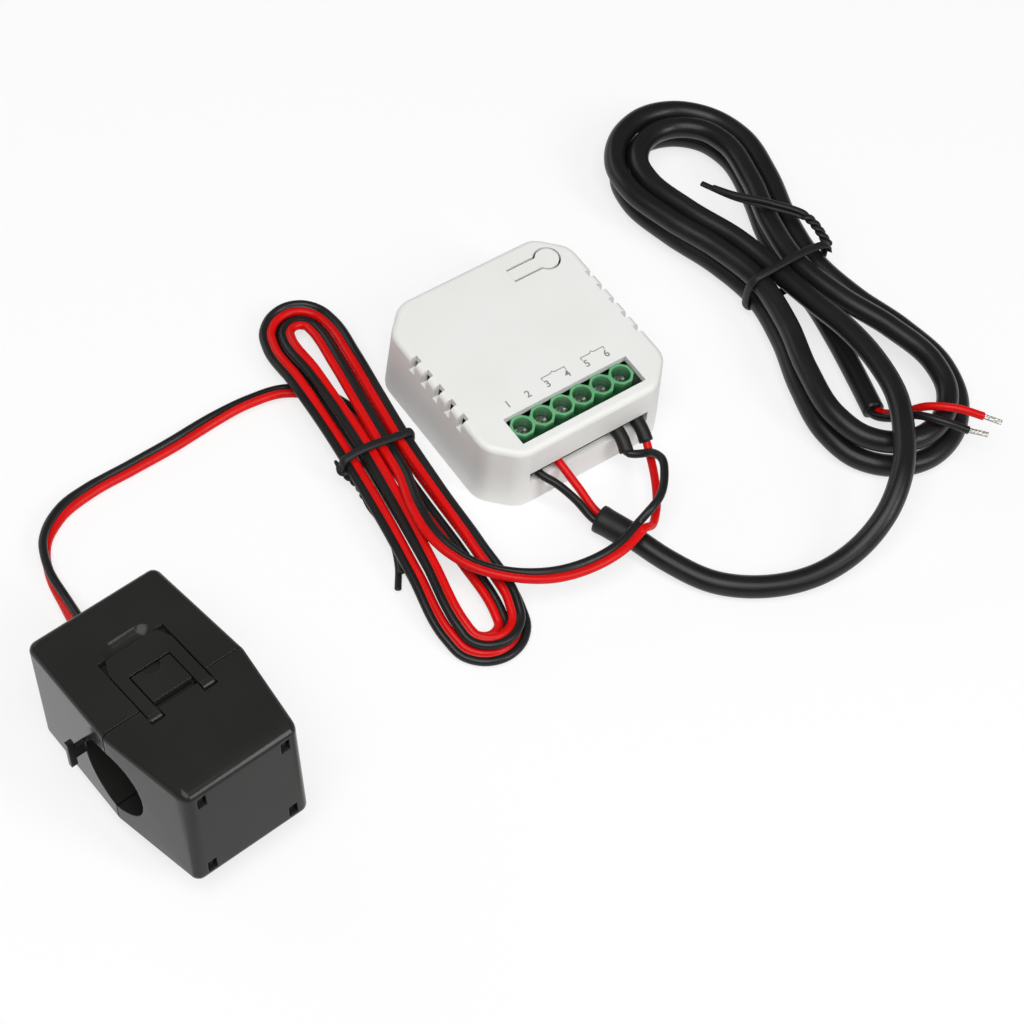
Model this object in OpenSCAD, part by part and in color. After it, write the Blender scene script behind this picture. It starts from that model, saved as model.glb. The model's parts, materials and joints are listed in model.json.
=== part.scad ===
// Clip-on energy monitor: a small mains module with a row of screw terminals, a split-core
// current clamp on a twin lead, and a supply cable with stripped ends.
// Millimetres, +Z up. The origin is the centre of the module's underside, +X runs along the
// terminal row and +Y points away from it.

/* [Housing] */
// Width and depth of the square housing
housing_size = 47.5; // [47:0.5:48.5]
// Height of the housing
housing_height = 17.3; // [17.3:0.1:19]
// Length cut from each side at the upright corners
corner_cut = 6.4; // [5.5:0.1:7]
// Radius that blends a corner cut into the sides
corner_round = 6; // [5:0.1:6.5]
// Lean of the walls between the foot and the top
draft = 0.7; // [0.3:0.1:0.8]
// Radius of the rounded top edge
top_round = 1.4; // [0.8:0.1:1.5]
// Thickness of the side walls
wall = 1.6; // [1.4:0.1:1.8]
// Thickness of the top wall
top_wall = 1.6; // [1.4:0.1:1.8]
// Thickness of the base plate
base_thick = 1.6; // [1.4:0.1:2]
// Vents along each side
vent_count = 5; // [3:1:5]
// Distance between two vents
vent_pitch = 4.3; // [3:0.1:4.4]
// Width of a vent
vent_width = 1.8; // [1.5:0.1:2]
// Height of a vent on the side wall
vent_height = 3.6; // [3:0.1:4]

/* [Push button] */
// Diameter of the button's round pad
pad_diameter = 5.2; // [4.6:0.1:5.6]
// Width of the springy tongue that carries the pad
tongue_width = 2.8; // [2.2:0.1:3.2]
// Thickness of the tongue
tongue_thick = 0.9; // [0.7:0.1:1.2]
// Length of the tongue from its root to the pad's centre
tongue_length = 9.4; // [8:0.2:11]
// Slit around the button
button_slit = 0.45; // [0.3:0.05:0.5]
// Distance of the pad's centre from the right and back faces
pad_inset = 7.2; // [7:0.1:9]
// Side of the square tact switch
switch_size = 5; // [4.5:0.1:5]
// Height of the switch body
switch_height = 3.6; // [3:0.1:5]
// Diameter of the switch plunger
plunger_diameter = 2.4; // [2:0.1:3]

/* [Circuit board] */
// Thickness of the board
board_thick = 1.6; // [1.2:0.1:1.6]
// Space between the base plate and the board
board_gap = 1.4; // [1.4:0.1:2]

/* [Terminals] */
// Height of the terminal block above the board
block_height = 11.7; // [11.4:0.1:12]
// Distance between two terminals
pitch = 5; // [5:0.02:5.08]
// Distance of the screw row from the front face
row_inset = 7.75; // [7.75:0.05:8.5]
// Width across the flats of a terminal tower
tower_width = 5.1; // [5.1:0.05:5.2]
// Diameter of the well over a screw
well_diameter = 4.1; // [4:0.05:4.2]
// Diameter of a screw head
head_diameter = 3.8; // [3.4:0.05:3.8]
// Diameter of a screw shank
shank_diameter = 2.4; // [2:0.05:2.5]
// Height of a screw head
head_height = 0.8; // [0.7:0.1:1]
// Height of the wire slot in the front wall
slot_height = 3.2; // [2.8:0.1:3.4]
// Way that a wire cage travels
cage_travel = 1.3; // [1:0.1:1.3]
// Diameter of a bare conductor
conductor_diameter = 1.1; // [0.8:0.1:1.1]

/* [Clamp] */
// Thickness of the clamp's shell over the core
clamp_skin = 2.4; // [2.2:0.1:3]
// Width of the clamp at the seam
seam_width = 31.6; // [31:0.2:34]
// Width of the clamp at its cable end
back_width = 29.6; // [29:0.2:31]
// Width of the clamp at its jaw end
nose_width = 26.4; // [26:0.2:29]
// Length of the fixed half
body_length = 26.8; // [26.8:0.2:30]
// Length of the hinged half
jaw_length = 21.2; // [21.2:0.2:24]
// Diameter of the bore for the conductor
bore_diameter = 17; // [15:0.5:17]
// Thickness of the wall around the bore
bore_wall = 1; // [0.8:0.1:1]
// Thickness of the core's legs
core_leg = 1.9; // [1.5:0.1:1.9]
// Width of the core
core_width = 11; // [9:0.5:12]
// Thickness of the latch
latch_thick = 1.4; // [1.2:0.1:1.4]
// Radius of a hinge knuckle
knuckle_radius = 2.1; // [2:0.1:2.4]
// Radius of the hinge pin
pin_radius = 0.9; // [0.7:0.05:1.1]
// Gap along the seam
seam_gap = 0.3; // [0.2:0.05:0.4]

/* [Leads] */
// Width of the twin lead
twin_width = 3.6; // [3.4:0.1:3.6]
// Height of the twin lead and diameter of one core
core_diameter = 1.8; // [1.6:0.1:1.8]
// Diameter of the supply cable
cable_diameter = 4.8; // [4.4:0.1:4.8]
// Diameter of the shrink sleeve where the supply cable splits
boot_diameter = 6; // [5.4:0.1:6.2]
// Diameter of the shrink sleeves at the terminals
sleeve_diameter = 3; // [2.6:0.1:3]
// Thickness of a twist tie
tie_thick = 1; // [0.8:0.1:1.1]
// Width of a twist tie
tie_width = 2; // [1.6:0.1:2.4]

/* [Hidden] */
// Names of the sub-parts, one solid or one group of like solids each
$fn = 48;

// Small clearances
fit_gap = 0.15;
run_gap = 0.05;
free_gap = 0.3;
cut = 0.01;

// Housing
half = housing_size / 2;
inner_half = half - wall;
roof = housing_height - top_wall;
corner_far = half - corner_round;
corner_near = half - corner_cut - corner_round * (sqrt(2) - 1);
corner_edges = [[corner_far, corner_near], [corner_near, corner_far]];
function lean(z) = draft * z / housing_height;
inner_round = 0.5;
vent_depth = 1.6;
post_radius = 1.7;
post_x = inner_half - 1 - draft;
post_y = vent_pitch * (vent_count - 1) / 2 + vent_width / 2 + post_radius + 0.3;
board_z = base_thick + board_gap;
board_top = board_z + board_thick;
board_half = inner_half - 0.6;
peg_radius = 0.9;
peg_radius_foot = 2;
peg_places = [[6 - half, 6.6 - half], [half - 6, 6.6 - half], [-9, half - 4.4], [6, half - 4.4]];
supply_size = [14.4, 11.6, 8.4];
supply_place = [-board_half + 3.2, board_half - 16.2, board_top];
radio_size = [16, 11, 0.8];
shield_size = [12, 9.4, 2];
capacitor_diameter = 8;
capacitor_height = 8.8;
varistor_diameter = 6.8;
varistor_thick = 3.4;
lead_radius = 0.4;
chip_size = [5, 4, 1.5];
chip_stand = 0.2;
resistor_size = [1.6, 3.2, 0.6];
hook_width = 6;
hook_thick = 1.4;
hook_top = 6.5;
hook_bump = 0.5;
hook_wall = inner_half - lean(hook_top);

// Button and switch
pad_x = half - pad_inset;
pad_y = half - pad_inset;
root_x = pad_x - tongue_length;
button_stem = 1.3;
press_gap = 0.1;
plunger_top = roof - button_stem - press_gap;

// Terminals
ways = 6;
row_y = -half + row_inset;
row_width = ways * pitch;
function way_x(i) = (i - (ways + 1) / 2) * pitch;
window_front = 4.4;
window_back = 2.75;
window_side = 0.5;
block_front = 4.2;
block_back = 3.8;
block_top = board_top + block_height;
shoulder_z = block_top - 3.9;
shelf_top = block_top - 3.7;
shelf_thick = 0.5;
chamber_top = shelf_top - shelf_thick;
chamber_half = 1.95;
chamber_floor = board_top + 0.8;
cage_half_x = 1.8;
cage_half_y = 2.1;
cage_wall = 0.6;
cage_side = 0.45;
cage_roof = 0.9;
strip_thick = 0.8;
strip_half = 0.9;
strip_reach = 0.3;
leg_half = 0.5;
solder_reach = 0.8;
tip_reach = 1.6;
cage_high = chamber_top - 0.2;
strip_top = cage_high - cage_roof - cage_travel - 0.2;
strip_bottom = strip_top - strip_thick;
wire_z = strip_bottom - conductor_diameter / 2;
slot_bottom = wire_z - slot_height / 2;
entry_half = 1.7;
leg_front = 2.45;
leg_thick = 0.7;
clamped = [1, 2, 5, 6];
function is_clamped(i) = len([for (c = clamped) if (c == i) c]) > 0;
function cage_drop(i) = is_clamped(i) ? 0 : cage_travel;

// Clamp, placed with its cable end and its hinge knuckles on the floor
clamp_x = -107.8;
clamp_y = -42.7;
clamp_turn = -85;
clamp_tilt = 8;
back_round = 2;
nose_slope = 0.9;
edge_round = 1.5;
clamp_height = bore_diameter + 2 * (bore_wall + core_leg + clamp_skin);
clamp_lift = (body_length - back_round) * sin(clamp_tilt) + back_round * (1 - cos(clamp_tilt));
bore_z = clamp_height / 2;
bore_radius = bore_diameter / 2;
hinge_z = (knuckle_radius - clamp_lift) / cos(clamp_tilt);
core_inner = bore_radius + bore_wall;
core_outer = core_inner + core_leg;
channel_half = core_width / 2 + fit_gap;
shell = 1.3;
coil_space = 6;
core_base = 4;
base_front = -bore_radius - bore_wall - coil_space;
base_rear = base_front - core_base;
nose_base = bore_radius + bore_wall + 1.5;
nose_base_thick = 3.4;
latch_pocket = latch_thick + 2 * run_gap;
latch_half = 7.1;
leg_width = 2.5;
bar_rear = -13.5;
bar_front = -9;
bar_taper = [3.2, 1.4];
pivot_x = 2.4;
pivot_z = clamp_height - latch_thick / 2 - run_gap;
nub_radius = 0.6;
nub_reach = 1;
scoop_radius = 4.6;
scoop_half = 2.6;
boss_radius = 0.95;
gland_radius = 2.6;
gland_length = 1.6;
gland_z = 8;
retainer_x = jaw_length - shell - 1.7;
hook_places = [for (y = [-9.3, 9.3]) for (z = [bore_z - 10.2, bore_z + 10.2]) [y, z]];
hook_hole = [2, 3.1];
hook_reach = 0.4;
retainer_half = 10.3;
knuckle_ends = [-11, -4, 4, 11];
flange_z = core_inner - fit_gap;
flange_thick = 1;
tube_wall = 0.7;
coil_rear = -body_length + shell + 0.3;
coil_front = -bore_radius - bore_wall - 0.7;
coil_half = 11.4;
leaf_thick = 0.4;
leaf_width = 8;
leaf_half = 8.6;
tongue_stem = 2.2;
tongue_head = 1.4;

function clamp_point(p) =
  let (a = p[0] * cos(clamp_tilt) - p[2] * sin(clamp_tilt),
       b = p[0] * sin(clamp_tilt) + p[2] * cos(clamp_tilt))
  [clamp_x + a * cos(clamp_turn) - p[1] * sin(clamp_turn),
   clamp_y + a * sin(clamp_turn) + p[1] * cos(clamp_turn), clamp_lift + b];
gland_face = clamp_point([-body_length - gland_length, 0, gland_z]);
gland_way = clamp_point([1, 0, 0]) - clamp_point([0, 0, 0]);

// Hanks: waist place, turn, side of the rising run, arc centres, arc radii, lift, width, height
strand_gap = 0.45;
layer_gap = 0.7;
hank_rings = 24;
function hank_step(h) = h[8] + strand_gap;
clamp_hank = [-35.7, 0.6, 5, 1, 35, 44.5, [2, 2.8], 3, twin_width, core_diameter];
clamp_hank_turns = 3;
power_hank = [63.4, -8, 0.5, -1, 36.5, 36.5, [9.4, 9.5], 1.4, cable_diameter, cable_diameter];
power_hank_turns = 2.5;
hank_middle = 1.5;
arc_share = 0.125;
tie_twist = 480;

// Free routes of the leads, in order along each cord
front_y = row_y - block_front;
function wire_start(i) = [way_x(i), front_y, wire_z];
clamp_lead_route = [[-34.2, 9, 3.2], [-35, 16, 1.8], [-37.5, 22, 1], [-43, 26, 0.9],
  [-51, 27.5, 0.9], [-60, 27.5, 0.9], [-70, 26.5, 0.9], [-80, 26, 0.9], [-90, 25.5, 0.9],
  [-98, 23.5, 0.9], [-104, 19, 1.1], [-107, 12, 1.8], [-108, 4, 2.8], [-109, -4, 5]];
clamp_tail_route = [[-36, -8, 7.2], [-38.5, -16, 8.2], [-39.5, -25, 8.4], [-37, -34, 8.4],
  [-31, -41, 8.4], [-24, -45, 8], [-16, -46.8, 7.8], [-8.5, -46.6, 7.8], [-2, -44.6, 7.8]];
black_core_route = [[0.5, -43.2, 9], [4.4, -41.8, 9.6], [8.4, -38, 9.8], [10.7, -34, 9.2],
  [10.4, -31, 7.8], [8.7, -29.4, 6.6]];
red_core_route = [[0.5, -45, 6.2], [4, -42, 5.6], [7.4, -37.4, 5.2], [10.6, -31.4, 5.2]];
black_sleeve_end = [6.9, -27.6, 6.3];
red_sleeve_end = [12, -27.6, 6.3];
power_black_route = [[-12.4, -23.4, 8], [-10.8, -26.8, 7.6], [-8.8, -31, 5.6]];
power_red_route = [[-7.4, -23.4, 8], [-6.6, -29, 5.8]];
boot_start = [-6.2, -36.2, 3.1];
boot_end = [-2.9, -44.2, 3.1];
power_route = [[0, -52, 2.6], [5, -61, 2.4], [13.5, -67.6, 2.4], [24, -71.4, 3.4], [34, -71.8, 6],
  [42.4, -69.6, 10], [49.4, -64.8, 13], [56, -57, 13.6], [60.4, -49.5, 13.4], [62.8, -40, 13],
  [63.6, -30, 12], [63, -19, 10.4]];
power_end_route = [[67.2, -15, 3.6], [65.6, -25, 3], [63, -36, 2.6], [60.5, -45, 2.5]];
far_red_route = [[63.4, -50, 6], [66, -53.6, 10.4], [70.4, -58.6, 12.2], [74, -62.6, 11.6]];
far_black_route = [[61, -50.4, 6], [62.4, -54, 10.4], [65.6, -59.6, 12.2], [69, -63.6, 11.4]];
red_tip_end = [76.4, -65.6, 11.2];
black_tip_end = [72, -66.4, 11];
clamp_tie_tail = [[-43.6, -4, 3.4], [-44.2, -9, 2.2], [-44, -15, 1.5], [-46.5, -23, 1.4], [-49.6, -28, 1.6]];
power_tie_tail = [[74.6, -2, 13.4], [69.6, 5, 14], [64.6, 12, 13], [61, 19.6, 12]];

// Vectors along a route
function unit(v) = v / norm(v);
function last(a) = a[len(a) - 1];
function level_side(way) = unit([way[1], -way[0], 0]);
function run_ways(path, first, end) =
  let (n = len(path) - 1)
  [for (i = [0:n]) i == 0 ? unit(first) : i == n ? unit(end) : unit(path[i + 1] - path[i - 1])];

// One ring of a tube: an ellipse square to the run, level across
function tube_ring(p, way, wide, high, sides, roll) =
  let (s = level_side(way), u = cross(s, way))
  [for (k = [0:sides - 1])
    let (a = 360 * k / sides, x = wide / 2 * cos(a), y = high / 2 * sin(a))
    p + s * (x * cos(roll) - y * sin(roll)) + u * (x * sin(roll) + y * cos(roll))];

// A closed tube of triangles along a path
module tube(path, first, end, wide, high, sides, twist = 0) {
  ways_along = run_ways(path, first, end);
  n = len(path);
  rings = [for (i = [0:n - 1]) tube_ring(path[i], ways_along[i], wide, high, sides, twist * i / (n - 1))];
  skin = [for (r = rings) each r];
  near_cap = [[for (k = [sides - 1:-1:0]) k]];
  far_cap = [[for (k = [0:sides - 1]) (n - 1) * sides + k]];
  walls = [for (i = [0:n - 2]) for (k = [0:sides - 1])
    let (a = i * sides + k, b = i * sides + (k + 1) % sides)
    each [[a, b, b + sides], [a, b + sides, a + sides]]];
  polyhedron(points = skin, faces = concat(near_cap, far_cap, walls));
}

// Half width of a hank's inmost loop, drawn in at the waist
function hank_half(h, y) =
  let (centre = y > 0 ? h[4] : h[5], arc = y > 0 ? h[6][0] : h[6][1], waist = hank_step(h) / 4)
  waist + (arc - waist) * pow(sin(90 * min(1, abs(y) / centre)), 2);

// Place along a hank, t in turns: it spirals out in the upper layer and in again in the lower
function hank_point(h, t) =
  let (f = t - floor(t), q = arc_share,
       out = (hank_middle - abs(t - hank_middle)) * hank_step(h),
       a = 180 * (f < 0.5 ? f - q : f - 0.5 - q) / (0.5 - 2 * q),
       y_run = f <= q ? h[4] * f / q : f >= 1 - q ? -h[5] * (1 - f) / q :
               f <= 0.5 ? h[4] * (0.5 - f) / q : -h[5] * (f - 0.5) / q,
       on_top = f > q && f < 0.5 - q,
       on_foot = f > 0.5 + q && f < 1 - q,
       rising = f <= q || f >= 1 - q,
       x = on_top ? (h[6][0] + out) * cos(a) : on_foot ? -(h[6][1] + out) * cos(a) :
           (rising ? 1 : -1) * (hank_half(h, y_run) + out),
       y = on_top ? h[4] + (h[6][0] + out) * sin(a) : on_foot ? -h[5] - (h[6][1] + out) * sin(a) : y_run,
       reach = y > 0 ? h[4] + h[6][0] : h[5] + h[6][1],
       layer = min(1, max(0, (hank_middle + 0.25 - t) * 2)),
       raised = h[7] * max(0, 1 - pow(abs(y) / reach, 4)))
  [h[0] + h[3] * x * cos(h[2]) + y * sin(h[2]), h[1] - h[3] * x * sin(h[2]) + y * cos(h[2]),
   raised + h[9] / 2 + layer * (h[9] + layer_gap)];
function hank_path(h, turns) =
  [for (i = [0:hank_rings * turns]) hank_point(h, i / hank_rings)];
function hank_way(h, sign) = sign * [sin(h[2]), cos(h[2]), 0];

// Least gap between strands that lie apart on a hank, measured on the path's points
function strand_space(h, p, q) =
  let (side = norm([p[0] - q[0], p[1] - q[1]]), rise = abs(p[2] - q[2]), slant = h[8] / (2 * h[9]))
  h[8] == h[9] ? norm(p - q) - h[8] :
  max(side - h[8], rise - h[9], (side + rise * slant - h[8]) / norm([1, slant]));
function hank_least(h, path) =
  min([for (i = [0:len(path) - 7]) for (k = [i + 6:len(path) - 1]) strand_space(h, path[i], path[k])]);

module hank(h, turns, name) {
  path = hank_path(h, turns);
  echo(str(name, " least gap to itself ", hank_least(h, path), " mm"));
  tube(path, hank_way(h, 1), hank_way(h, turns == floor(turns) ? 1 : -1), h[8], h[9], 6);
}

// Flat shapes with round corners
module round_square(size, radius) {
  square([size[0] - 2 * radius, size[1]], center = true);
  square([size[0], size[1] - 2 * radius], center = true);
  for (x = [-1, 1]) for (y = [-1, 1])
    translate([x * (size[0] / 2 - radius), y * (size[1] / 2 - radius)]) circle(radius);
}

// Block between two corners
module block(low, high) translate(low) cube(high - low);

// Outline of the housing's foot, drawn in all round
module foot_outline(inset) {
  radius = corner_round - inset;
  slant = radius / sqrt(2) * [1, 1];
  for (turn = [0:90:270]) rotate(turn) {
    for (c = corner_edges) translate(c) circle(radius);
    polygon([[0, 0], [half - inset, -corner_near], [half - inset, corner_near],
             corner_edges[0] + slant, corner_edges[1] + slant, [corner_near, half - inset]]);
  }
}

// Solid on that outline, with leaning walls and a rounded top edge
module housing_solid(inset, height, round) hull() for (turn = [0:90:270]) rotate(turn)
  for (c = corner_edges) translate(c) rotate_extrude($fn = 32) {
    square([corner_round - inset, cut]);
    translate([corner_round - inset - lean(height) - round, height - round]) circle(round);
  }

// Outline of the button with its tongue, grown by a gap
module keyhole(gap) {
  translate([pad_x, pad_y]) circle(pad_diameter / 2 + gap);
  translate([root_x, pad_y - tongue_width / 2 - gap]) square([tongue_length, tongue_width + 2 * gap]);
}

module top_cover() color("whitesmoke") difference() {
  union() {
    difference() {
      housing_solid(0, housing_height, top_round);
      translate([0, 0, -cut]) housing_solid(wall, roof + cut, inner_round);
    }
    for (x = [-1, 1]) for (y = [-1, 1]) translate([x * post_x, y * post_y, base_thick])
      cylinder(r = post_radius, h = roof - base_thick + top_wall / 2);
  }
  block([-row_width / 2 - window_side, row_y - window_front, roof - cut],
        [row_width / 2 + window_side, row_y + window_back, housing_height + cut]);
  block([-row_width / 2, -half - cut, slot_bottom],
        [row_width / 2, draft - inner_half, slot_bottom + slot_height]);
  translate([0, 0, roof - cut]) linear_extrude(top_wall + 2 * cut) keyhole(button_slit);
  for (side = [0, 180]) rotate(side) {
    for (i = [0:vent_count - 1])
      translate([half, (i - (vent_count - 1) / 2) * vent_pitch, housing_height - vent_height]) {
        block([-draft - vent_depth, -vent_width / 2, 0], [cut, vent_width / 2, vent_height + cut]);
        block([-draft - wall - 1, -vent_width / 2, 0], [cut, vent_width / 2, vent_height - top_wall]);
      }
    block([hook_wall - 0.5, -hook_width / 2 - fit_gap, hook_top - 2],
          [hook_wall + hook_bump + fit_gap, hook_width / 2 + fit_gap, hook_top + fit_gap]);
  }
}

module push_button() color("whitesmoke") {
  translate([pad_x, pad_y, roof - button_stem]) cylinder(r = plunger_diameter / 2, h = button_stem + cut);
  translate([pad_x, pad_y, roof]) cylinder(r = pad_diameter / 2, h = top_wall);
  translate([root_x + 2 * cut, pad_y - tongue_width / 2, housing_height - tongue_thick])
    cube([tongue_length - 2 * cut, tongue_width, tongue_thick]);
}

module base_plate() color("gainsboro") {
  linear_extrude(base_thick) foot_outline(wall + fit_gap);
  for (p = peg_places) translate([p[0], p[1], base_thick - cut]) {
    cylinder(r = peg_radius_foot, h = board_gap + cut);
    cylinder(r = peg_radius, h = board_gap + board_thick + 0.4);
  }
  for (side = [0, 180]) rotate(side) {
    block([hook_wall - fit_gap - hook_thick, -hook_width / 2, base_thick - cut],
          [hook_wall - fit_gap, hook_width / 2, hook_top]);
    block([hook_wall - fit_gap - cut, -hook_width / 2, hook_top - 1.4],
          [hook_wall + hook_bump, hook_width / 2, hook_top]);
  }
}

module main_board() color("darkgreen") difference() {
  translate([0, 0, board_z]) linear_extrude(board_thick) foot_outline(half - board_half);
  translate([0, 0, board_z - cut]) {
    for (p = peg_places) translate(p) cylinder(r = peg_radius + run_gap, h = board_thick + 2 * cut);
    for (x = [-1, 1]) for (y = [-1, 1]) translate([x * post_x, y * post_y, 0])
      cylinder(r = post_radius + free_gap, h = board_thick + 2 * cut);
    for (side = [0, 180]) rotate(side)
      block([hook_wall - fit_gap - hook_thick - free_gap, -hook_width / 2 - free_gap, 0],
            [half, hook_width / 2 + free_gap, board_thick + 2 * cut]);
    for (i = [1:ways]) translate([way_x(i), row_y, 0])
      block([-leg_half - run_gap, leg_front - run_gap, 0],
            [leg_half + run_gap, leg_front + leg_thick + run_gap, board_thick + 2 * cut]);
  }
}

module tact_switch() color("dimgray") difference() {
  translate([pad_x - switch_size / 2, pad_y - switch_size / 2, board_top])
    cube([switch_size, switch_size, switch_height]);
  translate([pad_x, pad_y, board_top + 1])
    cylinder(r = plunger_diameter / 2 + run_gap, h = switch_height);
}

module tact_plunger() color("black")
  translate([pad_x, pad_y, board_top + 1.8])
    cylinder(r = plunger_diameter / 2, h = plunger_top - board_top - 1.8);

module supply_module() color("khaki") translate(supply_place) cube(supply_size);

module supply_capacitor() color("midnightblue")
  translate([supply_place[0] + supply_size[0] + capacitor_diameter / 2 + 0.8,
             board_half - peg_radius_foot - capacitor_diameter - 0.9, board_top]) {
    cylinder(d = capacitor_diameter, h = capacitor_height);
    cylinder(r = capacitor_diameter / 2 + fit_gap, h = capacitor_height / 8);
  }

module surge_varistor() color("royalblue") translate([board_half - 9.2, 2.4, board_top]) {
  middle = varistor_diameter / 2 + 1.6;
  cross_bar(0, middle, varistor_diameter / 2, -varistor_thick / 2, varistor_thick / 2);
  for (x = [-1, 1]) translate([x * varistor_diameter * 0.3, 0, 0]) cylinder(r = lead_radius, h = middle);
}

radio_place = [-board_half + 3.2, row_y + block_back + 1, board_top];
module radio_module() color("darkslategray") translate(radio_place) cube(radio_size);

module radio_shield() color("silver")
  translate(radio_place + [radio_size[0] - shield_size[0] - 0.8, (radio_size[1] - shield_size[1]) / 2,
                           radio_size[2]])
    cube(shield_size);

chip_place = [0.6, row_y + block_back + 6, board_top];
module metering_chip() color("black") translate(chip_place) {
  translate([0, 0, chip_stand]) cube(chip_size);
  for (i = [0:7]) for (y = [-chip_size[1] / 4, chip_size[1] - 0.2])
    translate([(i + 0.5) * chip_size[0] / 8 - 0.15, y, 0])
      cube([0.3, chip_size[1] / 4 + 0.2, 2 * chip_stand]);
}

module burden_resistors() color("black") for (i = [0:1])
  translate([chip_place[0] + chip_size[0] + 3.4 + i * 2.75 * resistor_size[0], chip_place[1], board_top])
    cube(resistor_size);

// Chamber, well and contact slot of one terminal, cut from the block
module terminal_cuts(i) translate([way_x(i), row_y, 0]) {
  translate([0, 0, shelf_top]) cylinder(r = well_diameter / 2, h = block_top - shelf_top + cut);
  translate([0, 0, chamber_top - cut]) cylinder(r = shank_diameter / 2 + fit_gap, h = shelf_thick + 2 * cut);
  block([-chamber_half, -block_front + 1.2, chamber_floor], [chamber_half, cage_half_y + 0.2, chamber_top]);
  block([-entry_half, -block_front - cut, chamber_floor + 0.8],
        [entry_half, -block_front + 1.3, strip_bottom + 0.4]);
  block([-strip_half, cage_half_y, strip_bottom], [strip_half, leg_front + leg_thick, strip_top]);
  block([-leg_half, leg_front, board_top - cut], [leg_half, leg_front + leg_thick, strip_top]);
}

module terminal_block() color("seagreen") difference() {
  union() {
    block([-row_width / 2, row_y - block_front, board_top], [row_width / 2, row_y + block_back, shoulder_z]);
    for (i = [1:ways]) translate([way_x(i), row_y, shoulder_z - cut]) rotate(22.5)
      cylinder(d = tower_width / cos(22.5), h = block_top - shoulder_z + cut, $fn = 8);
  }
  for (i = [1:ways]) terminal_cuts(i);
}

module terminal_contacts() color("goldenrod") for (i = [1:ways]) translate([way_x(i), row_y, 0]) {
  block([-strip_half, -cage_half_y - strip_reach, strip_bottom],
        [strip_half, leg_front + leg_thick, strip_top]);
  block([-leg_half, leg_front, board_z - solder_reach],
        [leg_half, leg_front + leg_thick, strip_bottom + cut]);
}

module terminal_screw(i) color("silver") translate([way_x(i), row_y, shelf_top + run_gap]) difference() {
  union() {
    cylinder(d = head_diameter, h = head_height);
    translate([0, 0, strip_top + 0.2 - shelf_top]) cylinder(d = shank_diameter, h = shelf_top - strip_top);
  }
  for (turn = [20, 110]) rotate(turn) translate([-1.5, -0.25, head_height - 0.45]) cube([3, 0.5, 1]);
}

module terminal_cage(i) color("lightsteelblue") translate([way_x(i), row_y, -cage_drop(i)]) difference() {
  floor_z = wire_z - conductor_diameter / 2 - 0.1;
  block([-cage_half_x, -cage_half_y, floor_z - cage_wall], [cage_half_x, cage_half_y, cage_high]);
  block([-cage_half_x + cage_side, -cage_half_y - cut, floor_z],
        [cage_half_x - cage_side, cage_half_y + cut, cage_high - cage_roof]);
  translate([0, 0, cage_high - cage_roof - cut])
    cylinder(r = shank_diameter / 2 + run_gap, h = cage_roof + 2 * cut);
}

// Puts a clamp piece in its place: x to the jaw end, z up, lying on its knuckles
module clamp_place()
  translate([clamp_x, clamp_y, clamp_lift]) rotate([0, -clamp_tilt, clamp_turn]) children();

// Round bar along the clamp's bore axis
module cross_bar(x, z, radius, from, to)
  translate([x, to, z]) rotate([90, 0, 0]) cylinder(r = radius, h = to - from);

// One half of the clamp's outer shell, from the seam to an end whose top edge slopes off
module half_shell(length, end_width, slope) hull() {
  for (y = [-1, 1]) for (top = [0, 1])
    translate([length - back_round * (1 + top * slope), y * (end_width / 2 - back_round),
               top ? clamp_height - back_round : back_round])
      scale([1 + top * slope, 1, 1]) sphere(back_round, $fn = 24);
  for (y = [-1, 1]) for (z = [edge_round, clamp_height - edge_round])
    translate([0, y * (seam_width / 2 - edge_round), z]) rotate([0, 90, 0])
      cylinder(r = edge_round, h = cut, $fn = 24);
}

// Channels for the two legs of a core, from the seam inwards
module leg_channels(length) for (z = [bore_z + core_inner, bore_z - core_outer])
  block([-length, -channel_half, z], [length, channel_half, z + core_leg]);

// Slots for the two legs of the latch in the clamp's top face
module leg_slots(from, to, depth) for (y = [-latch_half - free_gap, latch_half - leg_width - free_gap])
  block([from, y, clamp_height - depth], [to, y + leg_width + 2 * free_gap, clamp_height + 1]);

body_spans = [[knuckle_ends[0], knuckle_ends[1]], [knuckle_ends[2], knuckle_ends[3]]];
jaw_spans = [[knuckle_ends[1] + free_gap, knuckle_ends[2] - free_gap]];

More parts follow.
